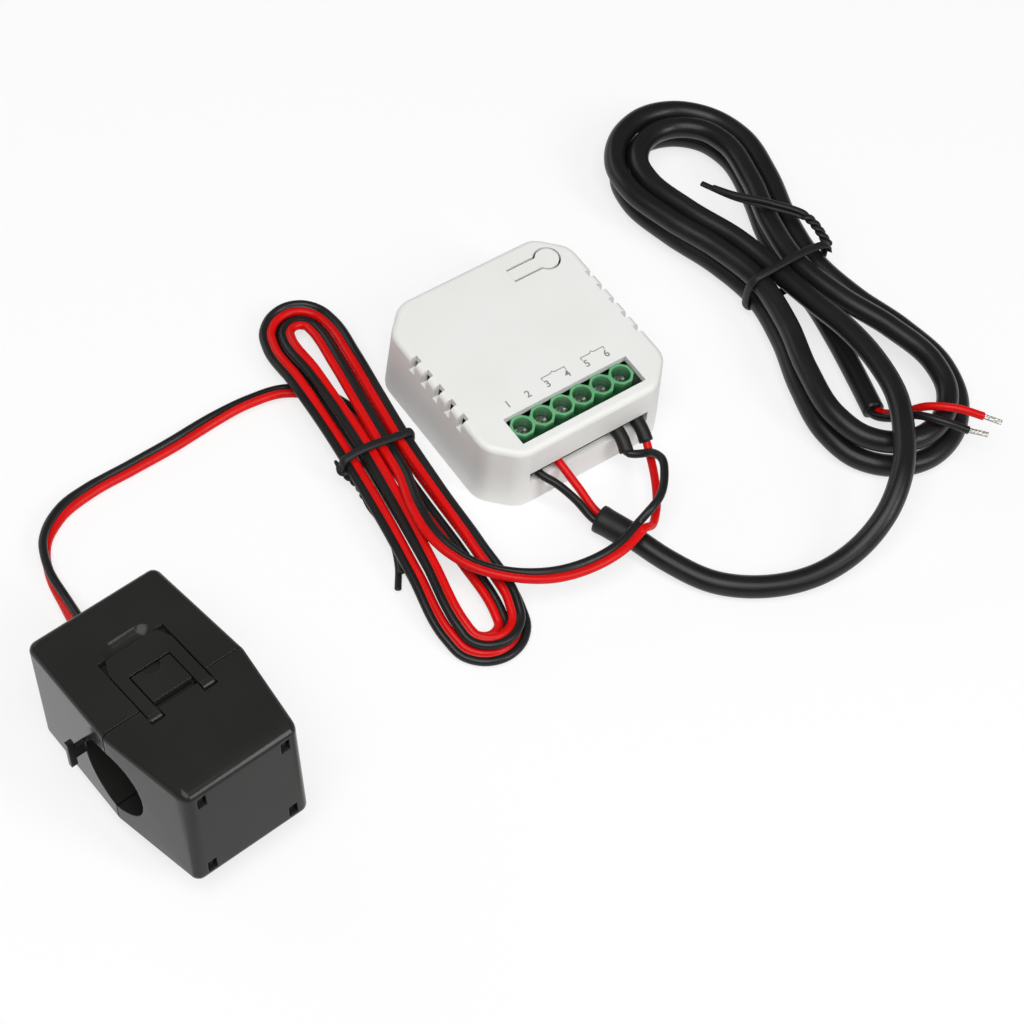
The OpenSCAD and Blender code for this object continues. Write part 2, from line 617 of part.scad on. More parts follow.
module clamp_body() color("black") clamp_place() difference() {
  tongue_x = -bore_radius - bore_wall;
  scoop_z = clamp_height + 3.3;
  side = seam_width / 2 + tongue_x * (seam_width - back_width) / 2 / body_length;
  union() {
    intersection() {
      mirror([1, 0, 0]) half_shell(body_length, back_width, 0);
      block([-body_length, -seam_width, 0], [-seam_gap / 2, seam_width, clamp_height]);
    }
    for (s = body_spans) {
      cross_bar(0, hinge_z, knuckle_radius, s[0], s[1]);
      block([-knuckle_radius - 2, s[0], hinge_z], [-seam_gap / 2, s[1], 1]);
    }
    block([tongue_x, -side - tongue_stem, bore_z - 0.5], [tongue_x + bore_wall, -side + 1, bore_z + 2.5]);
    block([tongue_x, -side - tongue_stem - tongue_head, bore_z - 2.5],
          [tongue_x + bore_wall, -side - tongue_stem, bore_z + 4.5]);
  }
  cross_bar(0, bore_z, bore_radius, -seam_width, seam_width);
  leg_channels(-base_rear + run_gap);
  block([-body_length + shell, -back_width / 2 + shell + 1, bore_z - core_outer],
        [-bore_radius - bore_wall, back_width / 2 - shell - 1, bore_z + core_outer]);
  translate([0, latch_half + free_gap, clamp_height - latch_pocket]) rotate([90, 0, 0])
    linear_extrude(2 * latch_half + 2 * free_gap)
      polygon([[bar_rear - free_gap, 0], [bar_front + free_gap, 0], [bar_front + free_gap + 2, 2],
               [bar_rear - free_gap, 2]]);
  leg_slots(bar_front, 1, latch_pocket);
  translate([bar_front + free_gap + latch_pocket, 0, clamp_height - 0.8]) cylinder(r = 1.9, h = 2);
  cross_bar(bar_rear, scoop_z, scoop_radius, -scoop_half, scoop_half);
  for (y = [-scoop_half, scoop_half]) translate([bar_rear, y, scoop_z]) sphere(scoop_radius);
  cross_bar(0, hinge_z, pin_radius, -seam_width, seam_width);
  for (s = jaw_spans)
    cross_bar(0, hinge_z, knuckle_radius + free_gap, s[0] - free_gap, s[1] + free_gap);
  translate([-body_length - 1, 0, gland_z]) rotate([0, 90, 0]) cylinder(r = gland_radius, h = shell + 2);
}

module clamp_jaw() color("black") clamp_place() difference() {
  union() {
    intersection() {
      half_shell(jaw_length, nose_width, nose_slope);
      block([seam_gap / 2, -seam_width, 0], [jaw_length, seam_width, clamp_height]);
    }
    for (s = jaw_spans) {
      cross_bar(0, hinge_z, knuckle_radius, s[0], s[1]);
      block([seam_gap / 2, s[0], hinge_z], [knuckle_radius + 2, s[1], 1]);
    }
  }
  cross_bar(0, bore_z, bore_radius, -seam_width, seam_width);
  leg_channels(nose_base + nose_base_thick);
  block([nose_base - 0.5, -nose_width / 2 + shell + 1, bore_z - core_outer],
        [jaw_length - shell, nose_width / 2 - shell - 1, bore_z + core_outer]);
  leg_slots(0, pivot_x + 1.5, clamp_height - pivot_z + boss_radius + run_gap);
  block([0, -latch_half, clamp_height - 1.2], [1.7, latch_half, clamp_height + 1]);
  for (y = [-latch_half - nub_reach - free_gap, latch_half])
    cross_bar(pivot_x, pivot_z, nub_radius + run_gap, y, y + nub_reach + free_gap);
  cross_bar(0, hinge_z, pin_radius + run_gap, -seam_width, seam_width);
  for (s = body_spans)
    cross_bar(0, hinge_z, knuckle_radius + free_gap, s[0] - free_gap, s[1] + free_gap);
  for (p = hook_places) hook_prism(p, shell + 1, hook_hole);
}

// Upright prism at the inside of the nose, for a hook or for its window
module hook_prism(place, length, size)
  translate([jaw_length - shell - cut, place[0] - size[0] / 2, place[1] - size[1] / 2])
    cube([length + cut, size[0], size[1]]);

module clamp_latch() color("black") clamp_place() translate([0, 0, pivot_z]) {
  rise = latch_thick / 2;
  intersection() {
    translate([0, latch_half, 0]) rotate([90, 0, 0]) linear_extrude(2 * latch_half)
      polygon([[bar_rear, -rise], [bar_front, -rise], [bar_front + latch_thick, rise], [bar_rear, rise]]);
    translate([0, 0, -rise]) linear_extrude(latch_thick)
      polygon([[bar_rear, bar_taper[1] - latch_half], [bar_rear + bar_taper[0], -latch_half],
               [0, -latch_half], [0, latch_half], [bar_rear + bar_taper[0], latch_half],
               [bar_rear, latch_half - bar_taper[1]]]);
  }
  for (y = [-latch_half, latch_half - leg_width]) {
    block([bar_front - cut, y, -rise], [pivot_x, y + leg_width, rise]);
    cross_bar(pivot_x, 0, boss_radius, y, y + leg_width);
  }
  for (y = [-latch_half - nub_reach, latch_half - cut])
    cross_bar(pivot_x, 0, nub_radius, y, y + nub_reach + cut);
}

module hinge_pin() color("silver") clamp_place()
  cross_bar(0, hinge_z, pin_radius, knuckle_ends[0], knuckle_ends[3]);

// Legs and base of one half of the core, the legs starting at the seam
module core_half(base_from, base_to) {
  for (z = [bore_z + core_inner, bore_z - core_outer])
    block([min(base_from, seam_gap / 2), -core_width / 2, z], [base_to, core_width / 2, z + core_leg]);
  block([base_from, -core_width / 2, bore_z - core_outer], [base_to, core_width / 2, bore_z + core_outer]);
}

module fixed_core() color("dimgray") clamp_place() mirror([1, 0, 0]) core_half(-base_front, -base_rear);

module moving_core() color("dimgray") clamp_place() core_half(nose_base, nose_base + nose_base_thick);

// Tube round the base of the fixed core, grown by a thickness
module base_sleeve(from, to, grow) translate([0, 0, from])
  block([base_rear - grow, -core_width / 2 - grow, 0], [base_front + grow, core_width / 2 + grow, to - from]);

module core_bobbin() color("ivory") clamp_place() difference() {
  union() {
    base_sleeve(bore_z - flange_z, bore_z + flange_z, tube_wall);
    for (z = [bore_z - flange_z, bore_z + flange_z - flange_thick])
      block([coil_rear, -coil_half, z], [coil_front, coil_half, z + flange_thick]);
  }
  base_sleeve(bore_z - flange_z - 1, bore_z + flange_z + 1, 0);
}

module core_winding() color("peru") clamp_place() difference() {
  block([coil_rear + 0.6, -coil_half + 0.6, bore_z - flange_z + flange_thick],
        [coil_front - 0.6, coil_half - 0.6, bore_z + flange_z - flange_thick]);
  base_sleeve(bore_z - flange_z, bore_z + flange_z, tube_wall);
}

module core_spring() color("silver") clamp_place() {
  from = nose_base + nose_base_thick;
  bow = retainer_x - from - leaf_thick;
  radius = (leaf_half * leaf_half + bow * bow) / (2 * bow) + leaf_thick;
  intersection() {
    difference() {
      cross_bar(from + radius, bore_z, radius, -leaf_width / 2, leaf_width / 2);
      cross_bar(from + radius, bore_z, radius - leaf_thick, -leaf_width, leaf_width);
    }
    block([from, -leaf_width, bore_z - leaf_half], [retainer_x, leaf_width, bore_z + leaf_half]);
  }
}

module core_retainer() color("dimgray") clamp_place() {
  block([retainer_x, -retainer_half, bore_z - core_outer + fit_gap],
        [jaw_length - shell, retainer_half, bore_z + core_outer - fit_gap]);
  for (p = hook_places) hook_prism(p, hook_reach, hook_hole - 2 * [fit_gap, fit_gap]);
}

module clamp_gland() color("black") clamp_place() translate([-body_length - gland_length, 0, gland_z])
  rotate([0, 90, 0]) cylinder(r = gland_radius, h = gland_length + shell);

// Twin lead: from the hank to the clamp, the hank itself, and on to the module
module clamp_lead() color("black")
  tube(concat([hank_point(clamp_hank, clamp_hank_turns)], clamp_lead_route, [gland_face]),
       hank_way(clamp_hank, 1), gland_way, twin_width, core_diameter, 8);

module clamp_lead_hank() color("black") hank(clamp_hank, clamp_hank_turns, "clamp lead hank");

tail_path = concat([hank_point(clamp_hank, 0)], clamp_tail_route);
tail_end = last(tail_path);
tail_way = unit(tail_end - tail_path[len(tail_path) - 2]);
tail_side = level_side(tail_way) * core_diameter / 2;

module clamp_lead_tail() color("black")
  tube(tail_path, hank_way(clamp_hank, -1), tail_way, twin_width, core_diameter, 8);

module clamp_core_black() color("black")
  tube(concat([tail_end - tail_side], black_core_route, [black_sleeve_end]), tail_way,
       sleeve_way(5, black_sleeve_end), core_diameter, core_diameter, 8);

module clamp_core_red() color("firebrick")
  tube(concat([tail_end + tail_side], red_core_route, [red_sleeve_end]), tail_way,
       sleeve_way(6, red_sleeve_end), core_diameter, core_diameter, 8);

// Sleeves from the terminals out through the slot
function sleeve_bend(i) = [way_x(i), -half - 0.6, wire_z];
function sleeve_way(i, end) = unit(sleeve_bend(i) - end);
module sleeve(i, end) tube([end, sleeve_bend(i), wire_start(i)], sleeve_way(i, end), [0, 1, 0],
                           sleeve_diameter, sleeve_diameter, 10);
module terminal_sleeves() color("black") {
  sleeve(5, black_sleeve_end);
  sleeve(6, red_sleeve_end);
}

// Rounded ring round the strands of a hank at its waist, between two strands on the outside
module tie_ring(h, left, right) {
  wide = norm(right - left) + h[8];
  high = 2 * h[9] + layer_gap;
  middle = (left + right) / 2;
  translate([middle[0], middle[1], h[7] + high / 2]) rotate([90, 0, -h[2]])
    linear_extrude(tie_width, center = true) difference() {
      round_square([wide + 2 * tie_thick, high + 2 * tie_thick], tie_thick + 0.4);
      round_square([wide, high], 0.4);
    }
}
function level(p) = [p[0], p[1], 0];
function finer(path, n) =
  concat([for (i = [0:len(path) - 2]) for (k = [0:n - 1]) path[i] + (path[i + 1] - path[i]) * k / n],
         [last(path)]);
module tie_tail(path) tube(finer(path, 4), path[1] - path[0], last(path) - path[len(path) - 2],
                           tie_width, 0.7, 6, tie_twist);

module clamp_tie() color("black") {
  left = level(hank_point(clamp_hank, 1.5));
  tie_ring(clamp_hank, left, level(hank_point(clamp_hank, 1)));
  tie_tail(concat([left + [-twin_width / 2 - tie_thick / 2, 0, 5]], clamp_tie_tail));
}

module conductor_tips() color("silver") for (i = clamped)
  translate([way_x(i), row_y + tip_reach, wire_z]) rotate([90, 0, 0])
    cylinder(d = conductor_diameter, h = tip_reach + block_front);

// Supply cable: cores at the terminals, shrink sleeve, cable, hank and stripped end
boot_way = unit(boot_end - boot_start);
boot_side = level_side(boot_way) * core_diameter / 2;

module power_core_black() color("black")
  tube(concat([wire_start(1)], power_black_route, [boot_start + boot_side]), [0, -1, 0], boot_way,
       core_diameter, core_diameter, 8);

module power_core_red() color("firebrick")
  tube(concat([wire_start(2)], power_red_route, [boot_start - boot_side]), [0, -1, 0], boot_way,
       core_diameter, core_diameter, 8);

module power_boot() color("black")
  tube([boot_start, boot_end], boot_way, boot_way, boot_diameter, boot_diameter, 12);

module power_cable() color("black")
  tube(concat([boot_end], power_route, [hank_point(power_hank, 0)]), boot_way,
       hank_way(power_hank, 1), cable_diameter, cable_diameter, 10);

module power_cable_hank() color("black") hank(power_hank, power_hank_turns, "power cable hank");

cable_end = last(power_end_route);
cable_end_way = unit(cable_end - power_end_route[len(power_end_route) - 2]);
far_side = level_side(cable_end_way) * core_diameter / 2;

module power_cable_end() color("black")
  tube(concat([hank_point(power_hank, power_hank_turns)], power_end_route),
       hank_way(power_hank, -1), cable_end_way, cable_diameter, cable_diameter, 10);

red_tip_way = unit(red_tip_end - last(far_red_route));
black_tip_way = unit(black_tip_end - last(far_black_route));

module far_core_red() color("firebrick")
  tube(concat([cable_end - far_side], far_red_route), cable_end_way, red_tip_way,
       core_diameter, core_diameter, 8);

module far_core_black() color("black")
  tube(concat([cable_end + far_side], far_black_route), cable_end_way, black_tip_way,
       core_diameter, core_diameter, 8);

module far_tips() color("silver") {
  tube([last(far_red_route), red_tip_end], red_tip_way, red_tip_way, 1.2, 1.2, 8);
  tube([last(far_black_route), black_tip_end], black_tip_way, black_tip_way, 1.2, 1.2, 8);
}

module power_tie() color("black") {
  right = level(hank_point(power_hank, 1.5));
  tie_ring(power_hank, level(hank_point(power_hank, 1)), right);
  tie_tail(concat([right + [cable_diameter / 2 + tie_thick / 2, 0, 10]], power_tie_tail));
}

top_cover();
push_button();
base_plate();
main_board();
tact_switch();
tact_plunger();
supply_module();
supply_capacitor();
surge_varistor();
radio_module();
radio_shield();
metering_chip();
burden_resistors();
terminal_block();
terminal_contacts();
terminal_screw(1);  // terminal_screw_1
terminal_screw(2);  // terminal_screw_2
terminal_screw(3);  // terminal_screw_3
terminal_screw(4);  // terminal_screw_4
terminal_screw(5);  // terminal_screw_5
terminal_screw(6);  // terminal_screw_6
terminal_cage(1);  // terminal_cage_1
terminal_cage(2);  // terminal_cage_2
terminal_cage(3);  // terminal_cage_3
terminal_cage(4);  // terminal_cage_4
terminal_cage(5);  // terminal_cage_5
terminal_cage(6);  // terminal_cage_6
clamp_body();
clamp_jaw();
clamp_latch();
hinge_pin();
fixed_core();
moving_core();
core_bobbin();
core_winding();
core_spring();
core_retainer();
clamp_gland();
clamp_lead();
clamp_lead_hank();
clamp_lead_tail();
clamp_core_black();
clamp_core_red();
terminal_sleeves();
clamp_tie();
conductor_tips();
power_core_black();
power_core_red();
power_boot();
power_cable();
power_cable_hank();
power_cable_end();
far_core_red();
far_core_black();
far_tips();
power_tie();
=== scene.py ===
# %% [markdown]
# # Dressing a clip-on energy monitor
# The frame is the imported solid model: a white mains module, a split-core clamp and two leads.
# A scene could start from an empty file and measure every piece again, but the frame already has
# each piece in its place, in metres. So the lesson keeps the rigid pieces, gives each a finish,
# and makes anew only what is soft: the leads, their sleeves and their wire ties.

# %% The frame and its box
import json
import math

import bmesh
import bpy
import numpy as np
from mathutils import Matrix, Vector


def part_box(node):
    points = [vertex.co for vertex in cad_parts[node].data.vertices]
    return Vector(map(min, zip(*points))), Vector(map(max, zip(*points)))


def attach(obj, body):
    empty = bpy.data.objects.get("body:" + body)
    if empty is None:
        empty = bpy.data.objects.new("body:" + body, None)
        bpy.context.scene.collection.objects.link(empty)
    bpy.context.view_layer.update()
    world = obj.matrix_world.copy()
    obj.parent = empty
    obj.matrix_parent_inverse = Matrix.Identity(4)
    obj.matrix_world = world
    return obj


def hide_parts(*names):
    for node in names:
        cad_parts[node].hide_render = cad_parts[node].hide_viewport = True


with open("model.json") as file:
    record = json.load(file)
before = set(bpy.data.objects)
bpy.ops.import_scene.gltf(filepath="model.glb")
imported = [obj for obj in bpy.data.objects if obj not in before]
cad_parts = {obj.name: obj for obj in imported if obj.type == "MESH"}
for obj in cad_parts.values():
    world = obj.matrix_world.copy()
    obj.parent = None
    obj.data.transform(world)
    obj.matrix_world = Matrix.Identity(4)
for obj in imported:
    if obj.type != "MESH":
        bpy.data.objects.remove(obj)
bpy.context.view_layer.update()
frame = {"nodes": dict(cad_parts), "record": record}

MM = 0.001
scene = bpy.context.scene

# %% [markdown]
# ## The camera
# The picture was taken from above and from the left with a long lens, and the camera leaned a
# little. A camera can be aimed by hand until it looks right. Here its direction, lean and distance
# are plain numbers that were fitted to the module's straight edges, and three vectors turn them
# into a matrix.

# %% Camera
AZIMUTH, ELEVATION, LEAN = (math.radians(angle) for angle in (-41.72, 55.88, 8.2))
AIM = np.array([-19.13, -24.01, 0.0]) * MM
DISTANCE = 556.18 * MM
LENS, FILM, NEAREST = 94.69, 36.0, 0.01


def stand(axes, place):
    """The matrix of an object with these three axes that stands at a place."""
    rows = [[*row, offset] for row, offset in zip(np.array(axes).T, place)]
    return Matrix(rows + [[0, 0, 0, 1]])


backward = np.array([math.sin(AZIMUTH) * math.cos(ELEVATION),
                     -math.cos(AZIMUTH) * math.cos(ELEVATION), math.sin(ELEVATION)])
level = np.array([math.cos(AZIMUTH), math.sin(AZIMUTH), 0.0])
upright = np.cross(backward, level)
across = level * math.cos(LEAN) + upright * math.sin(LEAN)
above = upright * math.cos(LEAN) - level * math.sin(LEAN)
eye = AIM + backward * DISTANCE

camera = bpy.data.objects.new("camera", bpy.data.cameras.new("camera"))
camera.data.lens = LENS
camera.data.sensor_width = FILM
camera.data.clip_start = NEAREST
camera.matrix_world = stand((across, above, backward), eye)
scene.collection.objects.link(camera)
scene.camera = camera
print("camera stands at", np.round(eye / MM, 1), "mm")

# %% [markdown]
# ## A smooth line through the points of a route
# A lead bends without corners, but a route is kept as a short list of points. A Bezier curve would
# do it with handles at every point. A cubic through the points needs none: the direction at each
# point comes from its two neighbours, so the line passes every point of the solid model's route.


# %% Routes
def unit(vector):
    return np.asarray(vector, float) / np.linalg.norm(vector)


def steps(path):
    return np.linalg.norm(np.diff(path, axis=0), axis=1)


def run_length(path):
    return float(steps(path).sum())


def distances(path):
    """How far along its line each point of a path lies."""
    return np.concatenate([[0], steps(path).cumsum()])


def smooth(points, spacing=0.8):
    """A cubic through the points of a route, as points about one spacing apart."""
    p = np.array(points, float)
    chord = steps(p)
    slope = np.diff(p, axis=0) / chord[:, None]
    way = np.vstack([slope[:1], slope[1:], slope[-1:]])
    way[1:-1] = ((slope[:-1] * chord[1:, None] + slope[1:] * chord[:-1, None])
                 / (chord[1:] + chord[:-1])[:, None])
    line = []
    for i, reach in enumerate(chord):
        for t in np.linspace(0, 1, max(2, round(reach / spacing)), endpoint=False):
            line.append((1 + 2 * t) * (1 - t) ** 2 * p[i] + t * (1 - t) ** 2 * reach * way[i]
                        + t * t * (3 - 2 * t) * p[i + 1] - t * t * (1 - t) * reach * way[i + 1])
    return np.array(line + [p[-1]])


corner = smooth([(0, 0, 0), (10, 0, 0), (10, 10, 0)])
print("a route of 20 mm with one corner becomes a line of", round(run_length(corner), 1), "mm")

# %% [markdown]
# ## The hanks
# Each lead is folded into a hank: it goes round and round two ends, and a wire tie draws in its
# waist. It could be modelled strand by strand by hand. One formula gives them all: the lead spirals
# out in the upper layer and in again in the lower one, and each strand keeps its distance from the
# next.

# %% Hank formula
STRAND_GAP, LAYER_GAP = 0.45, 0.7
ARC_SHARE = 0.125  # the part of a round from the waist to the start of an arc
MIDDLE, SINK = 1.5, 0.5  # the round in which the lead changes layer, and how long it takes
TWIN_HANK = dict(waist=(-35.7, 0.6), turn=math.radians(5), side=1, centres=(35, 44.5),
                 radii=(2, 2.8), lift=3, width=3.6, height=1.8)
CABLE_HANK = dict(waist=(63.4, -8), turn=math.radians(0.5), side=-1, centres=(36.5, 36.5),
                  radii=(9.4, 9.5), lift=1.4, width=4.8, height=4.8)


def hank_point(hank, t):
    """The place in a hank after t rounds, which start at the waist in the upper layer."""
    step = hank["width"] + STRAND_GAP
    f = t - math.floor(t)
    out = (MIDDLE - abs(t - MIDDLE)) * step
    upper = f < 0.5
    centre, radius = (hank[key][0 if upper else 1] for key in ("centres", "radii"))
    sign = 1 if upper else -1
    part = f if upper else f - 0.5
    if ARC_SHARE < part < 0.5 - ARC_SHARE:
        angle = math.pi * (part - ARC_SHARE) / (0.5 - 2 * ARC_SHARE)
        x = sign * (radius + out) * math.cos(angle)
        y = sign * (centre + (radius + out) * math.sin(angle))
    else:
        rising = part <= ARC_SHARE
        y = sign * centre * (part if rising else 0.5 - part) / ARC_SHARE
        pinch = math.sin(math.pi / 2 * min(1, abs(y) / centre)) ** 2
        half = step / 4 + (radius - step / 4) * pinch
        x = sign * (1 if rising else -1) * (half + out)
    layer = min(1, max(0, (MIDDLE + SINK / 2 - t) / SINK))
    raised = hank["lift"] * max(0, 1 - (abs(y) / (centre + radius)) ** 4)
    cos, sin = math.cos(hank["turn"]), math.sin(hank["turn"])
    return (hank["waist"][0] + hank["side"] * x * cos + y * sin,
            hank["waist"][1] - hank["side"] * x * sin + y * cos,
            raised + hank["height"] / 2 + layer * (hank["height"] + LAYER_GAP))


def hank_points(hank, start, end, per_round=24):
    count = round(abs(end - start) * per_round) + 1
    return [hank_point(hank, t) for t in np.linspace(start, end, count)]


for label, hank in (("twin lead", TWIN_HANK), ("supply cable", CABLE_HANK)):
    print("second round of the", label, "is", round(run_length(hank_points(hank, 1, 2))), "mm")

# %% [markdown]
# ## A tube that follows a line
# Leads, sleeves and ties are all one outline drawn along a line. A curve with a bevel would draw
# round ones. A mesh takes any outline, such as the figure of eight of a twin lead, and can also
# carry the place on its skin as an attribute, so that a finish can draw streaks along it.

# %% Tube maker
END_SCALE = 0.84  # the outline's size at a tube's two end faces, next to the lip


def circle(radius, sides):
    return [(radius * math.cos(a), radius * math.sin(a))
            for a in np.arange(sides) * 2 * math.pi / sides]


def units(rows):
    return rows / np.linalg.norm(rows, axis=1)[:, None]


def level_sides(way):
    """The level direction to the right of each direction of a line."""
    return units(np.stack([way[:, 1], -way[:, 0], 0 * way[:, 0]], axis=1))


def sweep(path, outline, spacing=0.8, stations=None, side=None, paint=0, lip=0.15, rolls=None):
    """One closed tube in millimetres. Stations are pairs of distance along the line and scale.
    Rolls, one for each point of the path, turn the outline about the line."""
    path, outline = np.array(path, float), np.array(outline, float)
    run = distances(path)
    if stations is None:
        middle = np.linspace(lip, run[-1] - lip, max(2, round(run[-1] / spacing)))
        stations = [(0, END_SCALE), *((d, 1) for d in middle), (run[-1], END_SCALE)]
    distance, scale = np.array(stations, float).T
    centre, way = (np.array([np.interp(distance, run, column) for column in table.T]).T
                   for table in (path, np.gradient(path, run, axis=0)))
    way = units(way)
    wide = level_sides(way) if side is None else units(side - way * (way @ side)[:, None])
    high = np.cross(wide, way)
    if rolls is not None:
        roll = np.interp(distance, run, rolls)[:, None]
        wide, high = (wide * np.cos(roll) + high * np.sin(roll),
                      high * np.cos(roll) - wide * np.sin(roll))
    rings = (centre[:, None] + scale[:, None, None]
             * (outline[None, :, :1] * wide[:, None] + outline[None, :, 1:] * high[:, None]))
    n, k = len(stations), len(outline)
    faces = [(i * k + j, i * k + (j + 1) % k, (i + 1) * k + (j + 1) % k, (i + 1) * k + j)
             for i in range(n - 1) for j in range(k)]
    faces += [tuple(range(k)), tuple((n - 1) * k + j for j in range(k))]
    paints = ([paint] * k if isinstance(paint, int) else list(paint)) * (n - 1)
    paints += [paints[0], paints[0]]
    skin = np.concatenate([np.broadcast_to(outline, (n, k, 2)),
                           np.broadcast_to(distance[:, None, None], (n, k, 1))], axis=2)
    return dict(points=rings.reshape(-1, 3), faces=faces, paints=paints,
                skin=skin.reshape(-1, 3))


sample = sweep([(0, 0, 0), (5, 0, 0), (10, 0, 0)], circle(1, sides=8))
print("a tube of 10 mm with 8 sides has", len(sample["faces"]), "faces")

# %% [markdown]
# ## From tubes to one object
# A tie is one thing, though it is drawn as a loop and two ends. Tubes could be joined with the join
# operator, which works on a selection. Here their lists are put one behind the other before
# there is an object at all, and the place on the skin goes along as an attribute.


# %% Piece maker
def piece(name, parts, finishes):
    """One object from several tubes, with the place on the skin kept in millimetres."""
    points, faces, paints, skins, base = [], [], [], [], 0
    for part in parts:
        faces += [tuple(base + v for v in face) for face in part["faces"]]
        paints += part["paints"]
        points.append(part["points"] * MM)
        skins.append(part["skin"])
        base += len(part["points"])
    mesh = bpy.data.meshes.new(name)
    mesh.from_pydata(np.concatenate(points).tolist(), [], faces)
    mesh.polygons.foreach_set("material_index", paints)
    mesh.polygons.foreach_set("use_smooth", [True] * len(faces))
    skin = mesh.attributes.new("skin", "FLOAT_VECTOR", "POINT")
    skin.data.foreach_set("vector", np.concatenate(skins).ravel())
    for finish in finishes:
        mesh.materials.append(finish)
    shell = bmesh.new()
    shell.from_mesh(mesh)
    bmesh.ops.recalc_face_normals(shell, faces=shell.faces)
    shell.to_mesh(mesh)
    shell.free()
    made = bpy.data.objects.new(name, mesh)
    scene.collection.objects.link(made)
    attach(made, "monitor")
    print(name, "has", len(mesh.polygons), "faces")
    return made


# %% [markdown]
# ## Sums on sockets
# A finish is a small sum: some noise, scaled and shifted, sets the colour, the gloss and the grain.
# Each sum could be wired up node by node. A class that stands for a socket and knows +, - and *
# lets the sum be written as one line of Python, and adds the Math nodes by itself. A second class
# stands for the whole node tree, and its method called node adds every node of this lesson.


# %% Sockets that can be added and multiplied
class Tone:
    """A socket that takes part in sums, and the graph it belongs to."""

    def __init__(self, graph, socket):
        self.graph, self.socket = graph, socket

    def math(self, operation, *items):
        return self.graph.node("ShaderNodeMath", {"operation": operation}, dict(enumerate(items)))

    def __add__(self, other):
        return self.math("ADD", self, other)

    def __radd__(self, other):
        return self.math("ADD", other, self)

    def __sub__(self, other):
        return self.math("SUBTRACT", self, other)

    def __rsub__(self, other):
        return self.math("SUBTRACT", other, self)

    def __mul__(self, other):
        return self.math("MULTIPLY", self, other)

    def __rmul__(self, other):
        return self.math("MULTIPLY", other, self)


class Graph:
    """A node tree of a material, the world or a modifier."""

    def __init__(self, tree):
        self.tree = tree

    def plug(self, place, item):
        if isinstance(item, Tone):
            self.tree.links.new(item.socket, place)
        else:
            place.default_value = item

    def node(self, kind, settings, sockets, out=0):
        """Adds a node. Its settings come first, because they can change its sockets."""
        made = self.tree.nodes.new(kind)
        for key, value in settings.items():
            setattr(made, key, value)
        for key, item in sockets.items():
            self.plug(made.inputs[key], item)
        return Tone(self, made.outputs[out]) if made.outputs else None


# %% [markdown]
# ## A material in millimetres
# No real surface is quite even in colour, gloss and height. Pictures could be painted for that and
# wrapped round each piece, but a wrapped picture has seams. Noise that is measured in millimetres
# has none, so this class is a material with the few steps that all finishes here share.

# %% Finish
MIX_SHARE, MIX_FIRST, MIX_SECOND, MIX_RESULT = 0, 6, 7, 2  # the Mix node's sockets for colours
EDGE_SAMPLES = 4


class Finish(Graph):
    def __init__(self, name):
        self.material = bpy.data.materials.new(name)
        self.material.use_nodes = True
        super().__init__(self.material.node_tree)
        self.surface = self.tree.nodes["Principled BSDF"]

    def blend(self, share, first, second):
        """From one colour to another as the share goes from 0 to 1."""
        first, second = (c if isinstance(c, Tone) else (*c, 1) for c in (first, second))
        return self.node("ShaderNodeMix", {"data_type": "RGBA"},
                         {MIX_SHARE: share, MIX_FIRST: first, MIX_SECOND: second}, MIX_RESULT)

    def times(self, vector, factors):
        return self.node("ShaderNodeVectorMath", {"operation": "MULTIPLY"},
                         {0: vector, 1: factors})

    def place(self, stretch=(1, 1, 1)):
        """The place on a rigid piece in millimetres, drawn out along an axis where asked."""
        here = self.node("ShaderNodeTexCoord", {}, {}, out="Object")
        return self.times(here, tuple(s / MM for s in stretch))

    def skin(self, along):
        """The place on a lead's skin in millimetres; a small number along draws streaks."""
        here = self.node("ShaderNodeAttribute", {"attribute_name": "skin"}, {}, out="Vector")
        return self.times(here, (1, 1, along))

    def noise(self, where, scale, detail=2.0):
        return self.node("ShaderNodeTexNoise", {},
                         {"Vector": where, "Scale": scale, "Detail": detail})

    def sharpen(self, tone, low, high):
        """Runs from 0 to 1 between two values of a tone."""
        return self.node("ShaderNodeMapRange", {"clamp": True},
                         {"Value": tone, "From Min": low, "From Max": high})

    def close(self, colour, roughness, height=None, depth=0, strength=0, edge=0, **fixed):
        """Wires the surface. Depth and edge are in millimetres."""
        wires = {key.replace("_", " "): value for key, value in fixed.items()}
        wires.update({"Base Color": colour, "Roughness": roughness})
        if edge:
            wires["Normal"] = self.node("ShaderNodeBevel", {"samples": EDGE_SAMPLES},
                                        {"Radius": edge * MM})
        if height is not None:
            bump = {"Strength": strength, "Distance": depth * MM, "Height": height}
            if edge:
                bump["Normal"] = wires["Normal"]
            wires["Normal"] = self.node("ShaderNodeBump", {}, bump)
        for key, value in wires.items():
            self.plug(self.surface.inputs[key], value)
        return self.material


# %% [markdown]
# ## Insulation
# The leads are covered in soft PVC, drawn through a die, so fine lines run along them and the gloss
# is a little uneven. A picture of the skin would need a map. Noise that is stretched along the lead
# gives the die lines, and a second, slower noise changes the colour from place to place.


# %% PVC finishes
def grey(level):
    return (level, level, level)


def insulation(name, colour, worn, roughness, gloss):
    pvc = Finish(name)
    lines = pvc.noise(pvc.skin(along=0.04), scale=2.6, detail=3.0)
    cloud = pvc.noise(pvc.place(), scale=0.12)
    specks = pvc.sharpen(pvc.noise(pvc.place(), scale=2.2, detail=1.0), low=0.66, high=0.74)
    share = pvc.sharpen(cloud * 0.7 + lines * 0.3, low=0.35, high=0.65)
    return pvc.close(pvc.blend(share, colour, worn),
                     roughness + (lines - 0.5) * 0.22 + specks * 0.12,
                     lines + specks * 0.25, depth=0.05, strength=0.35, Specular_IOR_Level=gloss)


